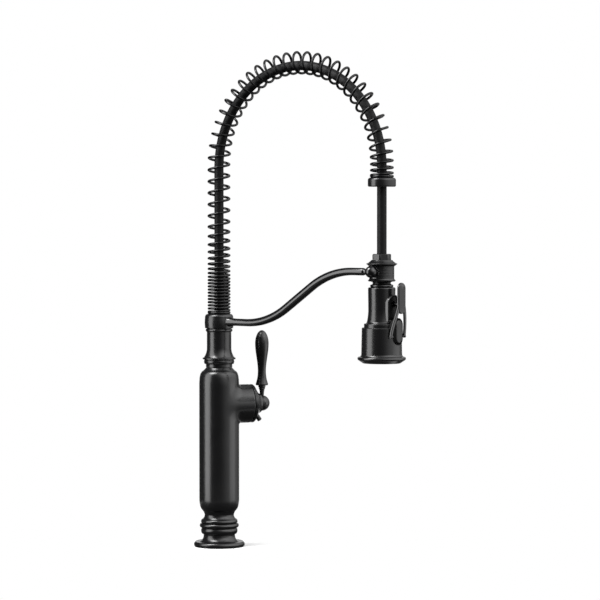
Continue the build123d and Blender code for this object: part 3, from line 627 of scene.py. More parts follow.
# Rows of the stem's head: a radius, how far it lies below the top, and a bulge where there is one.
stem_head = ((3.3, 4.6, -0.15), (3.9, 4.0), (3.5, 3.0, 0.1), (stem_top_r, 2.2), (stem_top_r, 0.0))
stem_outline = [(0, ball_r - tang_in), (tang_r, ball_r - tang_in), (tang_r, ball_r - tang_out),
                (stem_foot[0], ball_r + stem_foot[1])]
stem_outline += [(r, stem_top - below, *bulge) for r, below, *bulge in stem_head]
stem = turned("lever_stem", stem_outline + [(0, stem_top)], ball_place, edge=0.25)
dress(stem, "handle", "black_metal", "lever_stem")

# %% Grip
grip_len = 66.8
lip_low_r, lip_r, lip_top = 6.4, 7.6, 1.6
lip_bulge = 0.4
waist_grip_r, waist_up = 4.9, 17.6
belly_r, belly_up = 8.25, 50.7
WAIST_POWER = 2.2
GRIP_STEPS = 18


def eased(t):
    return t * t * (3 - 2 * t)


grip_outline = [(0, 0), (lip_low_r, 0), (lip_r, lip_top, lip_bulge)]
shares = [i / GRIP_STEPS for i in range(1, GRIP_STEPS + 1)]
grip_outline += [(waist_grip_r + (lip_r - waist_grip_r) * (1 - t) ** WAIST_POWER,
                  lip_top + (waist_up - lip_top) * t) for t in shares]
grip_outline += [(waist_grip_r + (belly_r - waist_grip_r) * eased(t),
                  waist_up + (belly_up - waist_up) * t) for t in shares]
grip_outline += [(belly_r * math.cos(math.pi / 2 * t),
                  belly_up + (grip_len - belly_up) * math.sin(math.pi / 2 * t)) for t in shares]
grip_outline[-1] = (0, grip_len)
grip = turned("lever_grip_turned", grip_outline, ball_place @ Matrix.Translation((0, 0, stem_top)))
dress(grip, "handle", "black_metal", "lever_grip")

# %% [markdown]
# ## Swivel neck and hub
# Above the column the spout turns on a neck with a sharp ring at its foot. A bulged hub sits on it,
# takes the arm, and is the seat of the spring. Both are lathe work again.

# %% Neck
neck_low, neck_high = span("spout_neck")
neck_top = neck_high.z
neck_h = 43.0
neck_foot = neck_top - neck_h
spindle_r = 10.85
neck_bore_r = 7.0
neck_step = (15.9, 4.2)
neck_ring = (18.3, 5.6)
neck_disc_more = 0.5
neck_disc_r = neck_high.x + neck_disc_more
neck_disc_edge = 1.5
neck_disc_h = 2.6
neck_flare = (18.1, 14.0, -0.9)
neck_r = 14.75
ring_round = 0.8
ring_z = neck_foot + neck_step[1]
disc_z = ring_z + neck_ring[1]
ring_root_r = neck_ring[0] - ring_round
neck = turned("swivel_neck", [
    (neck_bore_r, neck_low.z), (spindle_r, neck_low.z), (spindle_r, neck_foot),
    (neck_step[0], neck_foot), (neck_step[0], ring_z), (ring_root_r, ring_z),
    (ring_root_r, disc_z, ring_round), (neck_disc_r, disc_z), (neck_disc_r, disc_z + neck_disc_edge),
    (neck_flare[0], disc_z + neck_disc_h), (neck_r, disc_z + neck_flare[1], neck_flare[2]),
    (neck_r, neck_top), (neck_bore_r, neck_top)])
dress(neck, "spout", "black_metal", "spout_neck")

# %% Hub
hub_low, hub_high = span("arm_hub")
hub_bore_r = 9.0
hub_ring = (16.2, 3.4)
hub_groove = (14.9, 0.8)
hub_top_r = 13.4
hub_barrel_r = 17.4
hub_foot_r = 16.9
hub_shoulder_r = 17.0
hub_round = 4.2
QUARTER = 1 - math.sqrt(0.5)
groove_z = hub_low.z + hub_ring[1]
barrel_z = groove_z + hub_groove[1]
hub_root_r = hub_ring[0] - ring_round
hub_bulge = hub_barrel_r - (hub_foot_r + hub_shoulder_r) / 2
hub = turned("barrel_hub", [
    (hub_bore_r, hub_low.z), (hub_root_r, hub_low.z), (hub_root_r, groove_z, ring_round),
    (hub_groove[0], groove_z), (hub_groove[0], barrel_z), (hub_foot_r, barrel_z),
    (hub_shoulder_r, hub_high.z - hub_round, hub_bulge),
    (hub_top_r, hub_high.z, QUARTER * hub_round), (hub_bore_r, hub_high.z)])
dress(hub, "spout", "black_metal", "arm_hub")

# %% [markdown]
# ## The spring
# A spring machine winds the wire to a set pitch: close at the foot, then opening, open round the arch,
# and closing again over the cap. A curve could be drawn turn by turn, but a rule says all of it: how
# many turns there are up to each point of the centre line. Geometry Nodes work that rule out for each
# point of a line, lay the points round the arch, even them out along the wire and sweep a round section
# through them. The last turn at either end is closed and lies flat, on the hub and on the cap, so it is
# a plain ring.

# %% The spring's rule as nodes


def new_tree(name, inputs):
    """A geometry tree with named inputs. Inputs are (name, socket type) pairs."""
    tree = bpy.data.node_groups.new(name, "GeometryNodeTree")
    tree.interface.new_socket(name="Geometry", in_out="INPUT", socket_type="NodeSocketGeometry")
    for title, kind in inputs:
        tree.interface.new_socket(name=title, in_out="INPUT", socket_type="NodeSocket" + kind)
    tree.interface.new_socket(name="Geometry", in_out="OUTPUT", socket_type="NodeSocketGeometry")
    return tree, tree.nodes.new("NodeGroupInput").outputs


def end_tree(tree, geometry, finish):
    """Smooth faces, real geometry and the finish, and then the output."""
    smooth = add_node(tree, "GeometryNodeSetShadeSmooth", {"Geometry": geometry})
    real = add_node(tree, "GeometryNodeRealizeInstances", {"Geometry": smooth.outputs[0]})
    coated = add_node(tree, "GeometryNodeSetMaterial", {"Geometry": real.outputs[0], "Material": finish})
    add_node(tree, "NodeGroupOutput", {"Geometry": coated.outputs[0]})


def grown(piece, tree, values):
    """The piece with the tree's result as its own plain mesh."""
    modifier = piece.modifiers.new(tree.name, "NODES")
    modifier.node_group = tree
    for item in tree.interface.items_tree:
        if item.in_out == "INPUT" and item.name in values:
            modifier[item.identifier] = values[item.name]
    graph = bpy.context.evaluated_depsgraph_get()
    mesh = bpy.data.meshes.new_from_object(piece.evaluated_get(graph))
    piece.modifiers.clear()
    piece.data = mesh
    return piece


def turns_over_ramp(do, first, last, length, run):
    """Turns made over the start of a stretch whose pitch goes evenly from first to last."""
    slope = do("DIVIDE", do("SUBTRACT", last, first), length)
    growth = do("ADD", do("DIVIDE", do("MULTIPLY", slope, run), first), 1.0)
    return do("DIVIDE", do("LOGARITHM", growth, math.e), slope)


def part_of(do, place, start, length):
    """How much of a stretch lies before a place."""
    return do("MINIMUM", do("MAXIMUM", do("SUBTRACT", place, start), 0.0), length)


print("node helpers ready")

# %% The spring's tree
LINE_POINTS = 9000


def coil_spot(do, given, index):
    """X, Y and Z of a point of the wire. Do makes a math node, and given holds the spring's sizes."""
    leg, arch, coil = given["Leg"], given["Arch radius"], given["Coil radius"]
    close_len, ramp, end_ramp = given["Close length"], given["Ramp"], given["End ramp"]
    close_pitch, open_pitch, wire = given["Close pitch"], given["Open pitch"], given["Wire radius"]
    arch_len = do("MULTIPLY", arch, math.pi)
    total = do("ADD", do("ADD", leg, arch_len), given["End leg"])
    usable = do("SUBTRACT", total, do("MULTIPLY", wire, 2.0))
    place = do("ADD", do("MULTIPLY", do("DIVIDE", index, LINE_POINTS - 1), usable), wire)

    opened = do("ADD", close_len, ramp)
    closing = do("SUBTRACT", total, end_ramp)
    close_turns = do("DIVIDE", part_of(do, place, 0.0, close_len), close_pitch)
    ramp_turns = turns_over_ramp(do, close_pitch, open_pitch, ramp, part_of(do, place, close_len, ramp))
    open_run = part_of(do, place, opened, do("SUBTRACT", closing, opened))
    open_turns = do("DIVIDE", open_run, open_pitch)
    end_turns = turns_over_ramp(do, open_pitch, given["End pitch"], end_ramp,
                                part_of(do, place, closing, end_ramp))
    turns = do("ADD", do("ADD", close_turns, ramp_turns), do("ADD", open_turns, end_turns))
    angle = do("MULTIPLY", do("ADD", turns, given["Start turn"]), -2 * math.pi)

    lean = do("DIVIDE", part_of(do, place, leg, arch_len), arch)
    below = do("ADD", do("MAXIMUM", do("SUBTRACT", leg, place), 0.0),
               part_of(do, place, do("ADD", leg, arch_len), given["End leg"]))
    out = do("ADD", arch, do("MULTIPLY", coil, do("COSINE", angle)))
    height = do("ADD", do("ADD", given["Foot"], leg), do("MULTIPLY", out, do("SINE", lean)))
    return {"X": do("SUBTRACT", arch, do("MULTIPLY", out, do("COSINE", lean))),
            "Y": do("MULTIPLY", coil, do("SINE", angle)), "Z": do("SUBTRACT", height, below)}


def spring_tree(titles):
    tree, given = new_tree("wound_spring", [(title, "Float") for title in titles]
                           + [("Stations", "Int"), ("Sides", "Int"), ("Finish", "Material")])
    index = tree.nodes.new("GeometryNodeInputIndex").outputs[0]
    spot = add_node(tree, "ShaderNodeCombineXYZ", coil_spot(partial(calc, tree), given, index))
    line = add_node(tree, "GeometryNodeCurvePrimitiveLine")
    dense = add_node(tree, "GeometryNodeResampleCurve", {"Curve": line.outputs[0], "Count": LINE_POINTS})
    coil = add_node(tree, "GeometryNodeSetPosition",
                    {"Geometry": dense.outputs[0], "Position": spot.outputs[0]})
    even = add_node(tree, "GeometryNodeResampleCurve",
                    {"Curve": coil.outputs[0], "Count": given["Stations"]})
    section = add_node(tree, "GeometryNodeCurvePrimitiveCircle",
                       {"Resolution": given["Sides"], "Radius": given["Wire radius"]})
    swept = add_node(tree, "GeometryNodeCurveToMesh", {
        "Curve": even.outputs[0], "Profile Curve": section.outputs[0], "Fill Caps": True})
    end_tree(tree, swept.outputs[0], given["Finish"])
    return tree


print("spring rule ready for", LINE_POINTS, "points")

# %% Wind the spring
arch_r = 120.0
leg_len = 178.3
end_leg = 15.1
coil_r = 12.42
wire_r = 1.52
start_turn = 0.43
WIRE_SIDES = 32
spring_sizes = {
    "Foot": hub_high.z, "Leg": leg_len, "Arch radius": arch_r, "End leg": end_leg,
    "Coil radius": coil_r, "Wire radius": wire_r, "Close pitch": 3.8, "Open pitch": 13.8,
    "End pitch": 4.4, "Close length": 41.5, "Ramp": 75.0, "End ramp": 42.0}
spring_values = {title: size * MM for title, size in spring_sizes.items()} | {"Start turn": start_turn}
spring = grown(linked("wound_spring", bpy.data.meshes.new("wound_spring")), spring_tree(spring_values),
               spring_values | {"Stations": 2600, "Sides": 14, "Finish": finishes["black_spring"]})
ring_section = [(coil_r + wire_r * math.cos(t), wire_r + wire_r * math.sin(t))
                for t in steps_round(WIRE_SIDES)]
flat_turns = [turned("flat_turn", ring_section, Matrix.Translation((x, 0, z)))
              for x, z in ((0, hub_high.z), (2 * arch_r, hub_high.z + leg_len - end_leg))]
dress(joined("wound_spring", [spring, *flat_turns]), "spout", "black_spring", "spring")

# %% [markdown]
# ## The hose
# The hose runs up inside the spring, round the arch and straight down out of the cap to the head. It is
# held all the way, so its line is the one that the spring and the cap give it. The last stretch hangs
# between the cap and the head. When the head is pulled, more hose comes out of the spring, and that
# stretch grows.

# %% Hose
HOSE_SIDES = 40
ARCH_STEPS = 96
hose_low, hose_high = span("spout_hose")
drop_low, drop_high = span("hose_drop")
hose_r = (drop_high.x - drop_low.x) / 2
reach = (drop_high.x + drop_low.x) / 2
bend_z = hose_high.z - hose_r - arch_r
RUN_STEP = 4.0
STEEP = 0.999


def tube(name, path, radii, sides):
    """A round skin along points with their own directions, in an upright plane, with no twist."""
    loops = []
    for (spot, ahead), radius in zip(path, radii):
        across = Vector((-ahead.y, ahead.x, 0)) if abs(ahead.z) < STEEP else Vector((0, 1, 0))
        across = across.normalized()
        over = ahead.cross(across)
        loops.append([spot + (across * math.cos(t) + over * math.sin(t)) * radius
                      for t in steps_round(sides)])
    return loft(name, loops, capped=True)


def upright_run(x, low, high, sign):
    steps = max(2, round(abs(high - low) / RUN_STEP))
    heights = [low + (high - low) * i / steps for i in range(steps + 1)]
    return [(Vector((x, 0, height)), Vector((0, 0, sign))) for height in heights]


hose_path = upright_run(0.0, hose_low.z, bend_z, 1)
for i in range(1, ARCH_STEPS):
    lean = math.pi * i / ARCH_STEPS
    hose_path.append((Vector((arch_r - arch_r * math.cos(lean), 0, bend_z + arch_r * math.sin(lean))),
                      Vector((math.sin(lean), 0, math.cos(lean)))))
hose_path += upright_run(reach, bend_z, drop_high.z, -1)
print("hose path", len(hose_path), "points")

# %% Hose skins
spout_hose = tube("sleeved_hose", hose_path, [hose_r] * len(hose_path), HOSE_SIDES)
dress(spout_hose, "spout", "hose_black", "spout_hose")
drop_path = upright_run(reach, drop_high.z, drop_low.z, -1)
hose_drop = tube("hanging_hose", drop_path, [hose_r] * len(drop_path), HOSE_SIDES)
hose_drop.data.materials.append(finishes["hose_black"])
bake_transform(hose_drop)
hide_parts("hose_drop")
print("hanging hose", round(drop_high.z - drop_low.z, 1), "mm")

# %% [markdown]
# ## Spring cap
# A turned cap closes the spring's end and guides the hose.

# %% Spring cap
cap_low, cap_high = span("spring_cap")
head_place = Matrix.Translation((reach, 0, 0))
cap_r = (cap_high.x - cap_low.x) / 2
SLIP = 0.1
cap_bore = hose_r + SLIP
cap_edge = 1.0
cap_round = 3.0
cap = turned("spring_end_cap", [
    (cap_bore, cap_low.z), (cap_r - cap_edge, cap_low.z), (cap_r, cap_low.z + cap_edge),
    (cap_r, cap_high.z - cap_round), (cap_r - cap_round, cap_high.z, QUARTER * cap_round),
    (cap_bore, cap_high.z)], head_place)
dress(cap, "spout", "black_metal", "spring_cap")

# %% [markdown]
# ## Docking arm
# The arm is one drawn rod, bent twice and upset at its end into a ball that is bolted to the dock. The
# rod necks down before the ball and flares into it like a drop, and between the bends it is a little
# fuller. So the arm is a skin of circles along the bends whose radius changes on the way.

# %% Arm
dock_low, dock_high = span("dock_ring")
arm_r = 4.4
arm_swell = 0.8
ball_joint_r = 7.0
ball_angle = math.radians(264)
ball_out = 18.8
ball_up = 11.3
ball_spot = Vector((reach + ball_out * math.cos(ball_angle), ball_out * math.sin(ball_angle),
                    dock_low.z + ball_up))
arm_up = 7.9
arm_root_z = barrel_z + arm_up
arm_tip = math.hypot(ball_spot.x, ball_spot.y)
arm_start, arm_end = 45.0, 27.0
arm_bend_r = 115.5
run = arm_tip - arm_start - arm_end
rise = ball_spot.z - arm_root_z
drop = rise - 2 * arm_bend_r
bend = math.asin(2 * arm_bend_r / math.hypot(run, drop)) + math.atan2(drop, run)
arm_heading = math.atan2(ball_spot.y, ball_spot.x)
ARM_SIDES = 48
BEND_STEPS = 24
INCLINE_STEPS = 12
BALL_STEPS = 16
BALL_FROM = 0.16
ROOT_FLARE = ((-4.5, 6.6), (-1.0, 6.0), (1.5, 5.4), (4.0, 4.95), (7.0, 4.6), (10.0, arm_r))
NECK_DOWN = ((11.4, arm_r), (10.3, 4.2), (9.3, 3.7), (8.4, 3.35), (7.6, 3.3))


def arm_line():
    """Points of the arm's centre line as (along, height, slope)."""
    root = [(hub_barrel_r + out, arm_root_z, 0.0) for out, _ in ROOT_FLARE]
    leans = [bend * i / BEND_STEPS for i in range(BEND_STEPS + 1)]
    bends = [(arm_bend_r * math.sin(lean), arm_bend_r * (1 - math.cos(lean)), lean) for lean in leans]
    upward = [(arm_start + along, arm_root_z + height, lean) for along, height, lean in bends]
    over = [(arm_tip - arm_end - along, ball_spot.z - height, lean) for along, height, lean in bends[::-1]]
    incline = [tuple(a + (b - a) * i / INCLINE_STEPS for a, b in zip(upward[-1], over[0]))
               for i in range(1, INCLINE_STEPS)]
    return root + upward + incline + over


arm_points = arm_line()
arm_radii = [radius for _, radius in ROOT_FLARE]
for along, _, _ in arm_points[len(ROOT_FLARE):]:
    arm_radii.append(arm_r + arm_swell * math.sin(math.pi * (along - arm_start) / run))
for back, radius in NECK_DOWN:
    arm_points.append((arm_tip - back, ball_spot.z, 0.0))
    arm_radii.append(radius)
for i in range(BALL_STEPS + 1):
    lean = math.pi * (BALL_FROM + (1 - BALL_FROM) * i / BALL_STEPS)
    arm_points.append((arm_tip - ball_joint_r * math.cos(lean), ball_spot.z, 0.0))
    arm_radii.append(ball_joint_r * math.sin(lean))
heading = Vector((math.cos(arm_heading), math.sin(arm_heading), 0))
arm_path = [(heading * along + up * height, heading * math.cos(slope) + up * math.sin(slope))
            for along, height, slope in arm_points]
arm = tube("bent_arm", arm_path, arm_radii, ARM_SIDES)
dress(arm, "spout", "black_metal", "docking_arm", finish="smooth_metal")

# %% [markdown]
# ## Dock
# The dock is a ring with fine turned lines, a lip below, a flared cap and a hexagon nut above. A nut's
# corners are cut by a cone, which leaves the curved edges that one knows from any nut. So its radius is
# the smaller of the hexagon's and the cone's, ring by ring.

# %% Dock ring with turned lines
dock_bore_r = 10.7
dock_ring_r = 14.5
dock_lip_r = 16.3
dock_lip_h = 3.4
dock_lip_edge = 1.0
dock_lip_hollow = -0.3
LINES = 7
line_depth = 0.22
ring_outline = [
    (dock_bore_r, dock_low.z), (dock_lip_r - dock_lip_edge, dock_low.z),
    (dock_lip_r, dock_low.z + dock_lip_h / 3), (dock_ring_r, dock_low.z + dock_lip_h, dock_lip_hollow)]
line_pitch = (dock_high.z - dock_low.z - dock_lip_h) / (LINES + 1)
for i in range(1, LINES + 1):
    line_z = dock_low.z + dock_lip_h + i * line_pitch
    ring_outline += [(dock_ring_r, line_z - line_depth), (dock_ring_r - line_depth, line_z),
                     (dock_ring_r, line_z + line_depth)]
ring_outline += [(dock_ring_r, dock_high.z), (dock_bore_r, dock_high.z)]
dock_ring = turned("dock_ring_turned", ring_outline, head_place, edge=0.25)
dress(dock_ring, "spout", "black_metal", "dock_ring")

# %% Dock cap
dock_cap_low, dock_cap_high = span("dock_cap")
hose_room = 0.8
hose_hole_r = hose_r + hose_room
dock_rim_more = 0.5
dock_rim_r = (dock_cap_high.x - dock_cap_low.x) / 2 + dock_rim_more
dock_rim_low_r = 15.0
dock_rim_up = 2.3
dock_rim_edge = 0.7
cone_top_r = 12.2
cap_hollow = -0.5
rim_z = dock_cap_low.z + dock_rim_up
dock_cap = turned("dock_flared_cap", [
    (hose_hole_r, dock_cap_low.z), (dock_rim_low_r, dock_cap_low.z), (dock_rim_r, rim_z),
    (dock_rim_r, rim_z + dock_rim_edge), (cone_top_r, dock_cap_high.z, cap_hollow),
    (hose_hole_r, dock_cap_high.z)], head_place, edge=0.3)
dress(dock_cap, "spout", "black_metal", "dock_cap")

# %% Dock nut and screw
nut_low, nut_high = span("dock_nut")
nut_flats = 20.0
nut_land = 0.4
nut_turn = math.radians(-8)
nut_edge = 0.5
nut_cone = math.tan(math.radians(30))
NUT_SIDES = 120
NUT_STEPS = 10


def nut_ring(z, limit):
    loop = []
    for t in steps_round(NUT_SIDES):
        radius = min(hexagon(nut_flats, t - nut_turn + math.pi / HEX_SIDES), limit)
        loop.append(head_place @ Vector((radius * math.cos(t), radius * math.sin(t), z)))
    return loop


corner_r = nut_flats / 2 / math.cos(math.pi / HEX_SIDES) - nut_edge
top_r = nut_flats / 2 - nut_land
chamfer_h = (corner_r - top_r) * nut_cone
nut_loops = [circle(hose_hole_r, nut_low.z, head_place, NUT_SIDES), nut_ring(nut_low.z, corner_r)]
for i in range(NUT_STEPS + 1):
    t = i / NUT_STEPS
    nut_loops.append(nut_ring(nut_high.z - chamfer_h * (1 - t), corner_r + (top_r - corner_r) * t))
nut_loops.append(circle(hose_hole_r, nut_high.z, head_place, NUT_SIDES))
dress(loft("dock_hexagon_nut", nut_loops, closed=True), "spout", "black_metal", "dock_nut")

screw_place = (Matrix.Translation((reach, 0, ball_spot.z))
               @ Matrix.Rotation(ball_angle + math.pi, 4, "Z") @ Matrix.Rotation(math.pi / 2, 4, "Y"))
dock_screw_out = 1.3
dock_screw = socket_screw("dock_socket_screw", 2.4, low=dock_bore_r, high=dock_ring_r + dock_screw_out,
                          edge=0.5, place=screw_place, flats=2.0, depth=1.0)
dress(dock_screw, "spout", "black_metal", "dock_screw")

# %% [markdown]
# ## Spray head
# The head's neck has a bead and a hollow over it. The two shells and the step ring between them keep
# their CAD solids, because openings are cut through them. The face rim is a turned ring with a bevelled
# foot.

# %% Neck of the head
head_neck_low, head_neck_high = span("head_neck")
upper_top = span("upper_shell")[1].z
coupling_r = 7.55
spigot_r = 10.4
neck_gap = 0.4
neck_top_z = dock_low.z - neck_gap
shell_hole_r = 13.0
neck_fit_r = shell_hole_r - SLIP
head_neck_r = 12.6
neck_bead = 0.9
neck_hollow = -0.45
bead_top = (upper_top + neck_top_z) / 2
head_neck = turned("head_neck_turned", [
    (coupling_r, head_neck_low.z), (neck_fit_r, head_neck_low.z), (neck_fit_r, upper_top),
    (head_neck_r, upper_top), (head_neck_r, bead_top, neck_bead),
    (spigot_r, (bead_top + neck_top_z) / 2, neck_hollow), (head_neck_r, neck_top_z, neck_hollow),
    (spigot_r, neck_top_z), (spigot_r, head_neck_high.z), (coupling_r, head_neck_high.z)],
    head_place, edge=0.25)
dress(head_neck, "spray_head", "black_metal", "head_neck")

# %% Face rim
rim_low, rim_high = span("face_rim")
lower_low_r = 23.7
lower_bore_r = 21.1
face_bore_r = 20.3
face_low_r = 21.9
face_t = 4.2
rim_bead = 1.1
rim_bead_h = 3.8
rim_bead_low = 7.0
rim_hollow = -0.9
face_top = rim_low.z + face_t
bead_root_r = (rim_high.x - rim_low.x) / 2 - rim_bead
bead_z = rim_high.z - rim_bead_low
face_rim = turned("face_rim_turned", [
    (face_bore_r, rim_low.z), (face_low_r, rim_low.z), (bead_root_r, bead_z),
    (bead_root_r, bead_z + rim_bead_h, rim_bead), (lower_low_r, rim_high.z, rim_hollow),
    (lower_bore_r, rim_high.z), (lower_bore_r, face_top), (face_bore_r, face_top)], head_place)
dress(face_rim, "spray_head", "black_metal", "face_rim")

# %% [markdown]
# ## Nozzles and aerator
# Soft silicone nozzles stand through holes in the spray face, in two rings, and can be rubbed clean.
# One nozzle is drawn, and Geometry Nodes set it out on the points of a circle. The aerator in the
# middle has a fine screen: one bar, set out along a line and stretched to the round opening, and the
# same again crosswise.

# %% Nozzle rings
mat_low, mat_high = span("nozzle_mat")
aerator_r = span("aerator")[1].x - reach
NOZZLE_RINGS = ((12.0, 12), (16.4, 18))
NOZZLE_SIDES = 14
nozzle_r = 1.0
tip_r, tip_h = 0.72, 1.0
jet_r, jet_h = 0.4, 0.9
mat_t = 1.8


def nozzle_tree():
    tree, given = new_tree("nozzle_ring", [("Ring radius", "Float"), ("Nozzles", "Int"),
                                           ("Centre", "Vector"), ("Finish", "Material")])
    points = add_node(tree, "GeometryNodeMeshCircle",
                      {"Vertices": given["Nozzles"], "Radius": given["Ring radius"]})
    set_out = add_node(tree, "GeometryNodeInstanceOnPoints",
                       {"Points": points.outputs[0], "Instance": given["Geometry"]})
    moved = add_node(tree, "GeometryNodeTransform",
                     {"Geometry": set_out.outputs[0], "Translation": given["Centre"]})
    end_tree(tree, moved.outputs[0], given["Finish"])
    return tree


nozzle_rings = nozzle_tree()
nozzle_len = mat_high.z - mat_t / 2 - mat_low.z
for ring_r, count in NOZZLE_RINGS:
    nozzle = turned(f"nozzles_{count}", [
        (0, jet_h), (jet_r, jet_h), (jet_r, 0.0), (tip_r, 0.0), (nozzle_r, tip_h), (nozzle_r, nozzle_len),
        (0, nozzle_len)], edge=0.12, sides=NOZZLE_SIDES)
    grown(nozzle, nozzle_rings, {"Ring radius": ring_r * MM, "Nozzles": count,
                                 "Centre": (reach * MM, 0, mat_low.z * MM),
                                 "Finish": finishes["nozzle_rubber"]})
    dress(nozzle, "spray_head", "nozzle_rubber")
mat_in, mat_out = aerator_r + SLIP, lower_bore_r - SLIP
nozzle_mat = turned("nozzle_mat_disc", [
    (mat_in, mat_high.z - mat_t), (mat_out, mat_high.z - mat_t), (mat_out, mat_high.z),
    (mat_in, mat_high.z)], head_place)
dress(nozzle_mat, "spray_head", "nozzle_rubber", "nozzle_mat")

# %% Aerator screen
screen_edge = 1.6
screen_r = aerator_r - screen_edge
screen_up = 1.35
screen_z = rim_low.z + screen_up
BARS = 17
BAR_SIDES = 6
bar_r = 0.11


def screen_tree():
    tree, given = new_tree("round_screen", [("Radius", "Float"), ("Bars", "Int"), ("Centre", "Vector"),
                                            ("Finish", "Material")])
    pitch = calc(tree, "DIVIDE", calc(tree, "MULTIPLY", given["Radius"], 2.0), given["Bars"])
    start = calc(tree, "SUBTRACT", calc(tree, "MULTIPLY", pitch, 0.5), given["Radius"])
    first = add_node(tree, "ShaderNodeCombineXYZ", {"Y": start})
    step = add_node(tree, "ShaderNodeCombineXYZ", {"Y": pitch})
    row = add_node(tree, "GeometryNodeMeshLine", {
        "Count": given["Bars"], "Start Location": first.outputs[0], "Offset": step.outputs[0]})
    spot = add_node(tree, "ShaderNodeSeparateXYZ",
                    {"Vector": tree.nodes.new("GeometryNodeInputPosition").outputs[0]})
    half = calc(tree, "SQRT", calc(tree, "SUBTRACT", calc(tree, "POWER", given["Radius"], 2.0),
                                   calc(tree, "POWER", calc(tree, "ABSOLUTE", spot.outputs["Y"]), 2.0)))
    size = add_node(tree, "ShaderNodeCombineXYZ", {"X": half, "Y": 1.0, "Z": 1.0})
    bars = add_node(tree, "GeometryNodeInstanceOnPoints",
                    {"Points": row.outputs[0], "Instance": given["Geometry"], "Scale": size.outputs[0]})
    turn = add_node(tree, "GeometryNodeTransform",
                    {"Geometry": bars.outputs[0], "Rotation": (0, 0, math.pi / 2)})
    both = tree.nodes.new("GeometryNodeJoinGeometry")
    tree.links.new(bars.outputs[0], both.inputs[0])
    tree.links.new(turn.outputs[0], both.inputs[0])
    moved = add_node(tree, "GeometryNodeTransform",
                     {"Geometry": both.outputs[0], "Translation": given["Centre"]})
    end_tree(tree, moved.outputs[0], given["Finish"])
    return tree


bar_loops = [[(x, bar_r * math.cos(t), bar_r * math.sin(t)) for t in steps_round(BAR_SIDES)]
             for x in (-1 / MM, 1 / MM)]
screen = loft("aerator_screen", bar_loops, capped=True)
grown(screen, screen_tree(), {"Radius": screen_r * MM, "Bars": BARS, "Finish": finishes["steel"],
                              "Centre": (reach * MM, 0, screen_z * MM)})
dress(screen, "spray_head", "steel")

# %% [markdown]
# ## Arched pad
# Behind the thumb lever the upper shell carries a raised arch with a dished face and a hole for the
# plunger. Its loops run round the arch on the curve of the shell: up the edge, over a rounded rim, down
# into the dish, and through the hole. The edge stands up square, because it draws the bright line of
# the arch. A thin sheet of darker, duller black lies in the dish as painted shade: it keeps the inside
# of the arch as dark as the shade under the paddle.

# %% Pad
pad_low, pad_high = span("lever_pad")
plunger_low, plunger_high = span("lever_plunger")
pad_half = (pad_high.y - pad_low.y) / 2
pad_more = 0.2
pad_front = pad_high.x - reach + pad_more
plunger_z = (plunger_low.z + plunger_high.z) / 2
pad_hole_r = 3.5
pad_back = 13.4
ARCH_POINTS = 28
SIDE_POINTS = 14
FOOT_POINTS = 10


def arch_outline(inset):
    """Points (y, z) round the arch: up one side, over the top, down the other and along the foot."""
    half = pad_half - inset
    spring_line = pad_high.z - pad_half
    low = pad_low.z + inset
    levels = [low + (spring_line - low) * i / SIDE_POINTS for i in range(SIDE_POINTS)]
    leans = [math.pi * i / ARCH_POINTS for i in range(ARCH_POINTS + 1)]
    points = [(-half, level) for level in levels]
    points += [(-half * math.cos(lean), spring_line + half * math.sin(lean)) for lean in leans]
    points += [(half, level) for level in levels[::-1]]
    points += [(half - 2 * half * i / FOOT_POINTS, low) for i in range(1, FOOT_POINTS)]
    return points


def on_shell(points, radius):
    return [Vector((reach + math.sqrt(radius**2 - y**2), y, z)) for y, z in points]


def hole_outline(radius):
    """Points of the round hole that lie in the same directions as the arch's points."""
    points = []
    for y, z in arch_outline(0.0):
        away = Vector((y, z - plunger_z)).normalized() * radius
        points.append((away.x, plunger_z + away.y))
    return points


def pad_rows(edge_steps, hole_steps):
    """Loops round the arch, then round the hole. Steps are (inset or room, depth below the front)."""
    rows = [on_shell(arch_outline(inset), pad_front - sunk) for inset, sunk in edge_steps]
    return rows + [on_shell(hole_outline(pad_hole_r + room), pad_front - sunk) for room, sunk in hole_steps]


dish = 2.0
pad_t = pad_front - pad_back
rim_steps = ((0.0, pad_t), (0.0, 0.55), (0.0, 0.4), (0.06, 0.18), (0.2, 0.04), (0.45, 0.0), (0.8, 0.06),
             (1.05, 0.3), (1.2, 0.8), (1.4, dish - 0.3), (1.8, dish - 0.05), (2.4, dish))
hole_steps = ((0.5, dish), (0.15, dish + 0.1), (0.0, dish + 0.4), (0.0, pad_t))
pad = loft("arched_pad", pad_rows(rim_steps, hole_steps), closed=True)
dress(pad, "spray_head", "black_metal", "lever_pad", finish="smooth_metal")

# %% Painted shade sheet in the pad's dish
shade_sheet_front = dish - 0.5
shade_sheet_back = dish + 0.2
shade_sheet_edge = ((1.4, shade_sheet_back), (1.4, shade_sheet_front + 0.1), (1.55, shade_sheet_front))
shade_sheet_hole = ((0.15, shade_sheet_front), (0.0, shade_sheet_front + 0.15), (0.0, shade_sheet_back))
# A thin dark sheet of painted shade in the dish, where the paddle shades it.
shade_sheet = loft("pad_shade_sheet", pad_rows(shade_sheet_edge, shade_sheet_hole), closed=True)
dress(shade_sheet, "spray_head", "black_plastic", finish="painted_shade_black")

# %% [markdown]
# ## Button and bezel
# The oval button sits in a raised oval bezel between the lever's legs. Both are rounded slots, ring
# inside ring, that end on the slot's middle line, so the face can be gently crowned without a pole in
# it.

# %% Slots
SLOT_ARC = 18
SLOT_SIDE = 8


def slot_loop(half_w, length, inset, x, z):
    """An upright rounded slot at a distance in front of the head's axis."""
    half = max(half_w - inset, 0.0)
    centre = length / 2 - half_w
    leans = [math.pi * i / SLOT_ARC for i in range(SLOT_ARC + 1)]
    runs = [2 * centre * i / SLOT_SIDE for i in range(1, SLOT_SIDE)]
    points = [(half * math.cos(t), centre + half * math.sin(t)) for t in leans]
    points += [(-half, centre - run) for run in runs]
    points += [(-half * math.cos(t), -centre - half * math.sin(t)) for t in leans]
    points += [(half, -centre + run) for run in runs]
    return [Vector((reach + x, y, z + above)) for y, above in points]


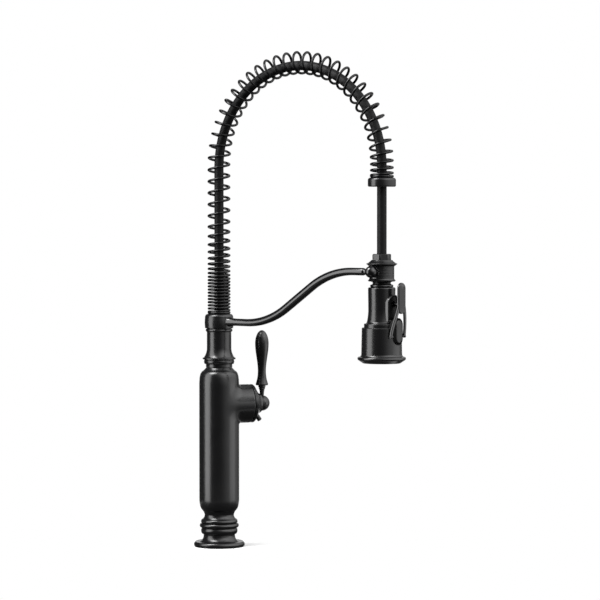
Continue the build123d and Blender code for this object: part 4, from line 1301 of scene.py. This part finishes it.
def slot_rows(half_w, length, steps, z):
    """Slots one inside the other. Steps are (inset, distance in front of the head's axis)."""
    return [slot_loop(half_w, length, inset, x, z) for inset, x in steps]


print("slot helper ready")

# %% Button
button_low, button_high = span("boost_button")
button_z = (button_low.z + button_high.z) / 2
button_half = (button_high.y - button_low.y) / 2
button_len = button_high.z - button_low.z
button_front = button_high.x - reach
button_back = button_low.x - reach
button_edge = 0.3
button_steps = [(button_half, button_back), (button_edge, button_back), (0.0, button_back + button_edge)]
for inset, step in ((0.0, -1.9), (0.25, -1.25), (0.7, -0.7), (1.3, -0.3), (2.0, -0.08), (2.7, 0.0),
                    (3.6, -0.08), (4.8, -0.14), (button_half, -0.16)):
    button_steps.append((inset, button_front + step))
button_loops = slot_rows(button_half, button_len, button_steps, button_z)
dress(loft("oval_button", button_loops), "button", "black_plastic", "boost_button")

# %% Bezel
bezel_low, bezel_high = span("button_bezel")
bezel_half = (bezel_high.y - bezel_low.y) / 2
bezel_len = bezel_high.z - bezel_low.z
bezel_front = bezel_high.x - reach
bezel_back = 17.5
button_gap = 0.9
button_room = bezel_half - button_half - button_gap
pocket_depth = 2.4
pocket_floor = button_back - pocket_depth
bezel_steps = (
    (bezel_half, bezel_back), (0.0, bezel_back), (0.0, bezel_front - 0.7), (0.08, bezel_front - 0.35),
    (0.3, bezel_front - 0.08), (0.55, bezel_front), (button_room - 0.25, bezel_front),
    (button_room - 0.06, bezel_front - 0.08), (button_room, bezel_front - 0.3),
    (button_room, pocket_floor), (bezel_half, pocket_floor))
bezel_loops = slot_rows(bezel_half, bezel_len, bezel_steps, button_z)
# The bezel wears the darker, duller black of painted shade, so it reads as the shaded gap round the button.
dress(loft("oval_bezel", bezel_loops), "spray_head", "black_metal", "button_bezel", finish="painted_shade_black")

# %% [markdown]
# ## Thumb lever
# The lever is a casting: a paddle that forks into two bowed legs with an eye at each foot. Separate
# forms pushed into each other would show hard seams, and a casting has none. So the forms are joined,
# remeshed into one skin on a fine grid and smoothed, which rounds every edge and leaves a soft web in
# the fork.

# %% Paddle
lever_high = span("spray_lever")[1]
lever_w = 13.8
lever_t = 3.4
lever_x = lever_high.x - reach - lever_t / 2
paddle_len = 36.0
crown = 0.5
paddle_low = lever_high.z - paddle_len
paddle_mid = (lever_high.z + paddle_low) / 2
paddle_steps = ((lever_w / 2, -lever_t / 2), (0.6, -lever_t / 2), (0.0, -lever_t / 2 + 0.6), (0.0, 0.4),
                (0.5, lever_t / 2 - 0.25), (1.4, lever_t / 2), (3.5, lever_t / 2 - 0.25),
                (lever_w / 2, lever_t / 2 - crown))
paddle_loops = slot_rows(lever_w / 2, lever_high.z - paddle_low,
                         [(inset, lever_x + x) for inset, x in paddle_steps], paddle_mid)
lever_forms = [loft("paddle", paddle_loops)]
print("paddle", paddle_len, "mm long")

# %% Legs and eyes
pivot = Vector(joints["lever_press"]["pos_m"]) / MM
pivot_half = 13.2
eye_r = 1.8
eye_w = 3.0
eye_bore_r = 1.0
EYE_SIDES = 40
leg_half_w = (2.2, 1.8)
leg_half_t = 1.2
leg_spread = 0.26
leg_arrive = (-0.1, 0.02)
fork_up = 0.75
LEG_STEPS = 22
LEG_SIDES = 32
SQUARENESS = 0.4


def squared(wave):
    """A sine or cosine pushed towards a square wave, which makes a flat strap of a round section."""
    return math.copysign(abs(wave) ** SQUARENESS, wave)


def strap(path):
    """A flat strap along a path, a little slimmer at its end."""
    loops = []
    for i, spot in enumerate(path):
        ahead = (path[min(i + 1, LEG_STEPS)] - path[max(i - 1, 0)]).normalized()
        wide = (Vector((0, 1, 0)) - ahead * ahead.y).normalized()
        thick = ahead.cross(wide)
        half_w = leg_half_w[0] + (leg_half_w[1] - leg_half_w[0]) * i / LEG_STEPS
        loops.append([spot + wide * (half_w * squared(math.cos(t)))
                      + thick * (leg_half_t * squared(math.sin(t))) for t in steps_round(LEG_SIDES)])
    return loft("leg", loops, capped=True)


for side in (-1, 1):
    fork = Vector((reach + lever_x, side * (lever_w / 2 - leg_half_w[0]), paddle_low + lever_w * fork_up))
    foot_spot = Vector((pivot.x, side * pivot_half, pivot.z))
    long = (fork - foot_spot).length
    leave = Vector((0, side * leg_spread, -1)).normalized() * long
    arrive = Vector((leg_arrive[0], side * leg_arrive[1], -1)).normalized() * long
    lever_forms.append(strap([hermite(fork, foot_spot, leave, arrive, i / LEG_STEPS)
                              for i in range(LEG_STEPS + 1)]))
    eye_place = Matrix.Translation(foot_spot) @ Matrix.Rotation(math.pi / 2, 4, "X")
    lever_forms.append(turned("eye", [
        (eye_bore_r, -eye_w / 2), (eye_r, -eye_w / 2), (eye_r, eye_w / 2), (eye_bore_r, eye_w / 2)],
        eye_place, edge=0.4, sides=EYE_SIDES))
print(len(lever_forms), "forms to join")

# %% One cast lever
VOXEL = 0.00022
SMOOTH_ROUNDS = 5


def cast(name, forms):
    """The forms joined, remeshed into one skin and smoothed."""
    piece = joined(name, forms)
    grid = piece.modifiers.new("grid", "REMESH")
    grid.mode = "VOXEL"
    grid.voxel_size = VOXEL
    grid.use_smooth_shade = True
    flow = piece.modifiers.new("flow", "SMOOTH")
    flow.factor = 0.5
    flow.iterations = SMOOTH_ROUNDS
    graph = bpy.context.evaluated_depsgraph_get()
    piece.data = bpy.data.meshes.new_from_object(piece.evaluated_get(graph))
    piece.modifiers.clear()
    return piece


thumb_lever = cast("wishbone_lever", lever_forms)
dress(thumb_lever, "thumb_lever", "black_metal", "spray_lever", finish="smooth_metal")

# %% Plunger
plunger_r = 2.0
plunger_in = 2.6
plunger_place = (Matrix.Translation((plunger_low.x - plunger_in, 0, plunger_z))
                 @ Matrix.Rotation(math.pi / 2, 4, "Y"))
plunger_len = plunger_high.x - plunger_low.x + plunger_in
plunger = turned("round_plunger", [(0, 0), (plunger_r, 0), (plunger_r, plunger_len), (0, plunger_len)],
                 plunger_place, edge=0.6, sides=48)
dress(plunger, "thumb_lever", "black_metal", "lever_plunger")

# %% [markdown]
# ## Floor, light and camera
# A product picture of a black object lives from what the object mirrors: a tall soft light at the left
# with a higher one over it, a low one at the right, broad pale glows high at the right, and a dark
# front. The floor is a pale disc that keeps the shadow near the foot and fades to plain white further
# out. Camera rays and rays through glass see a white background. Mirrored rays see it where a studio
# has it, as a backdrop behind the object and as the floor further out, while a dark cloth round the
# foot keeps the underside of the column black.

# %% Viewing directions
view_turn = math.radians(37)
view_right = Vector((math.cos(view_turn), math.sin(view_turn), 0))
view_toward = Vector((math.sin(view_turn), -math.cos(view_turn), 0))
view_aside = 0.0974


def seen_at(angle, distance, height):
    """A place at an angle to the right of the camera's side, in degrees."""
    turn = math.radians(angle)
    return (view_toward * math.cos(turn) + view_right * math.sin(turn)) * distance + up * height


print("camera side turned by", round(math.degrees(view_turn)), "degrees")

# %% Floor
FLOOR_R = 0.32
FLOOR_DROP = 0.4
FLAG_R = 0.27
SHADOW_R = (0.028, 0.075)
FLOOR_SIDES = 96
floor = loft("floor", [circle(radius, -FLOOR_DROP, UPRIGHT, FLOOR_SIDES) for radius in (0.0, FLOOR_R / MM)])
floor_finish, floor_tree, floor_shader = blank_finish("pale_floor")
floor_shader.inputs["Base Color"].default_value = (0.9, 0.9, 0.9, 1)
floor_shader.inputs["Roughness"].default_value = 0.8
floor_shader.inputs["Specular IOR Level"].default_value = 0.1
glow = add_node(floor_tree, "ShaderNodeEmission")
flag = add_node(floor_tree, "ShaderNodeBsdfDiffuse", {"Color": (0.05, 0.05, 0.05, 1)})
from_foot = add_node(floor_tree, "ShaderNodeVectorMath", {0: object_place(floor_tree)},
                     operation="LENGTH").outputs["Value"]
fade = add_node(floor_tree, "ShaderNodeMapRange", {
    "Value": from_foot, "From Min": SHADOW_R[0], "From Max": SHADOW_R[1]}, interpolation_type="SMOOTHSTEP")
seen_floor = add_node(floor_tree, "ShaderNodeMixShader", {
    0: fade.outputs["Result"], 1: floor_shader.outputs["BSDF"], 2: glow.outputs["Emission"]})
ray = floor_tree.nodes.new("ShaderNodeLightPath").outputs
far_off = calc(floor_tree, "GREATER_THAN", from_foot, FLAG_R)
mirrored_floor = calc(floor_tree, "MULTIPLY", ray["Is Glossy Ray"], far_off)
shown = calc(floor_tree, "MAXIMUM", ray["Is Camera Ray"], ray["Is Transmission Ray"])
any_floor = add_node(floor_tree, "ShaderNodeMixShader", {
    0: calc(floor_tree, "MAXIMUM", shown, mirrored_floor), 1: flag.outputs["BSDF"],
    2: seen_floor.outputs["Shader"]})
floor_tree.links.new(any_floor.outputs["Shader"], floor_tree.nodes["Material Output"].inputs["Surface"])
floor.data.materials.append(floor_finish)
print("floor", FLOOR_R * 2, "m across")

# %% Studio world
world = bpy.data.worlds.new("studio")
bpy.context.scene.world = world
world.use_nodes = True
sky = world.node_tree
studio = sky.nodes["Background"]
white = add_node(sky, "ShaderNodeBackground", {"Color": (1, 1, 1, 1)})
ahead_of = sky.nodes.new("ShaderNodeTexCoord").outputs["Generated"]
BACKDROP_SPREAD = math.radians(20)
AMBIENT = 0.05
# Rows of the glows: degrees to the right of the camera's side, height at 1 m, strength and tightness.
GLOWS = ((88, 0.7, 2.1, 3.0), (25, 1.4, 0.8, 6.0), (46, 0.65, 1.8, 9.0))


def facing_share(place):
    """One where the sky lies in a direction, falling to zero at a right angle to it."""
    facing = add_node(sky, "ShaderNodeVectorMath", {0: ahead_of, 1: place.normalized()},
                      operation="DOT_PRODUCT")
    return calc(sky, "MAXIMUM", facing.outputs["Value"], 0.0)


def pale_side(place, strength, tightness):
    """A soft glow on the sky round a direction."""
    return calc(sky, "MULTIPLY", calc(sky, "POWER", facing_share(place), tightness), strength)


brightness = AMBIENT
for angle, height, strength, tightness in GLOWS:
    brightness = calc(sky, "ADD", brightness, pale_side(seen_at(angle, 1.0, height), strength, tightness))
sky.links.new(brightness, studio.inputs["Strength"])
studio.inputs["Color"].default_value = (1, 1, 1, 1)
sky_ray = sky.nodes.new("ShaderNodeLightPath").outputs
backdrop = calc(sky, "GREATER_THAN", facing_share(-view_toward), math.cos(BACKDROP_SPREAD))
mirrored = calc(sky, "MULTIPLY", sky_ray["Is Glossy Ray"], backdrop)
seen_white = calc(sky, "MAXIMUM", sky_ray["Is Camera Ray"], sky_ray["Is Transmission Ray"])
sky_mix = add_node(sky, "ShaderNodeMixShader", {
    0: calc(sky, "MAXIMUM", seen_white, mirrored), 1: studio.outputs["Background"],
    2: white.outputs["Background"]})
sky.links.new(sky_mix.outputs["Shader"], sky.nodes["World Output"].inputs["Surface"])
print(len(GLOWS), "glows on the sky")

# %% Soft lights


def soft_light(name, place, aim, width, height, power):
    lamp = bpy.data.lights.new(name, "AREA")
    lamp.shape = "RECTANGLE"
    lamp.size = width
    lamp.size_y = height
    lamp.energy = power
    stand = bpy.data.objects.new(name, lamp)
    stand.location = place
    stand.rotation_euler = (aim - place).to_track_quat("-Z", "Y").to_euler()
    bpy.context.scene.collection.objects.link(stand)
    print(name, power, "W")


middle = up * 0.3
soft_light("tall_left", seen_at(-70, 1.6, 0.85), middle, 1.2, 3.0, 49)
soft_light("high_left", seen_at(-62, 0.8, 1.6), middle, 0.7, 0.7, 24)
soft_light("low_right", seen_at(84, 1.0, 0.0), up * 0.05, 0.7, 0.44, 1.1)

# %% Camera
camera_far = 3.468
camera_height = 0.4289
aim_height = 0.2969
look_at = view_right * view_aside + up * aim_height
camera_data = bpy.data.cameras.new("camera")
camera_data.lens = 173.0
camera_data.sensor_width = 36.0
camera = bpy.data.objects.new("camera", camera_data)
camera.location = view_right * view_aside + view_toward * camera_far + up * camera_height
camera.rotation_euler = (look_at - camera.location).to_track_quat("-Z", "Y").to_euler()
bpy.context.scene.collection.objects.link(camera)
bpy.context.scene.camera = camera
bpy.context.scene.view_settings.view_transform = "Standard"
print("camera at", [round(v, 3) for v in camera.location])
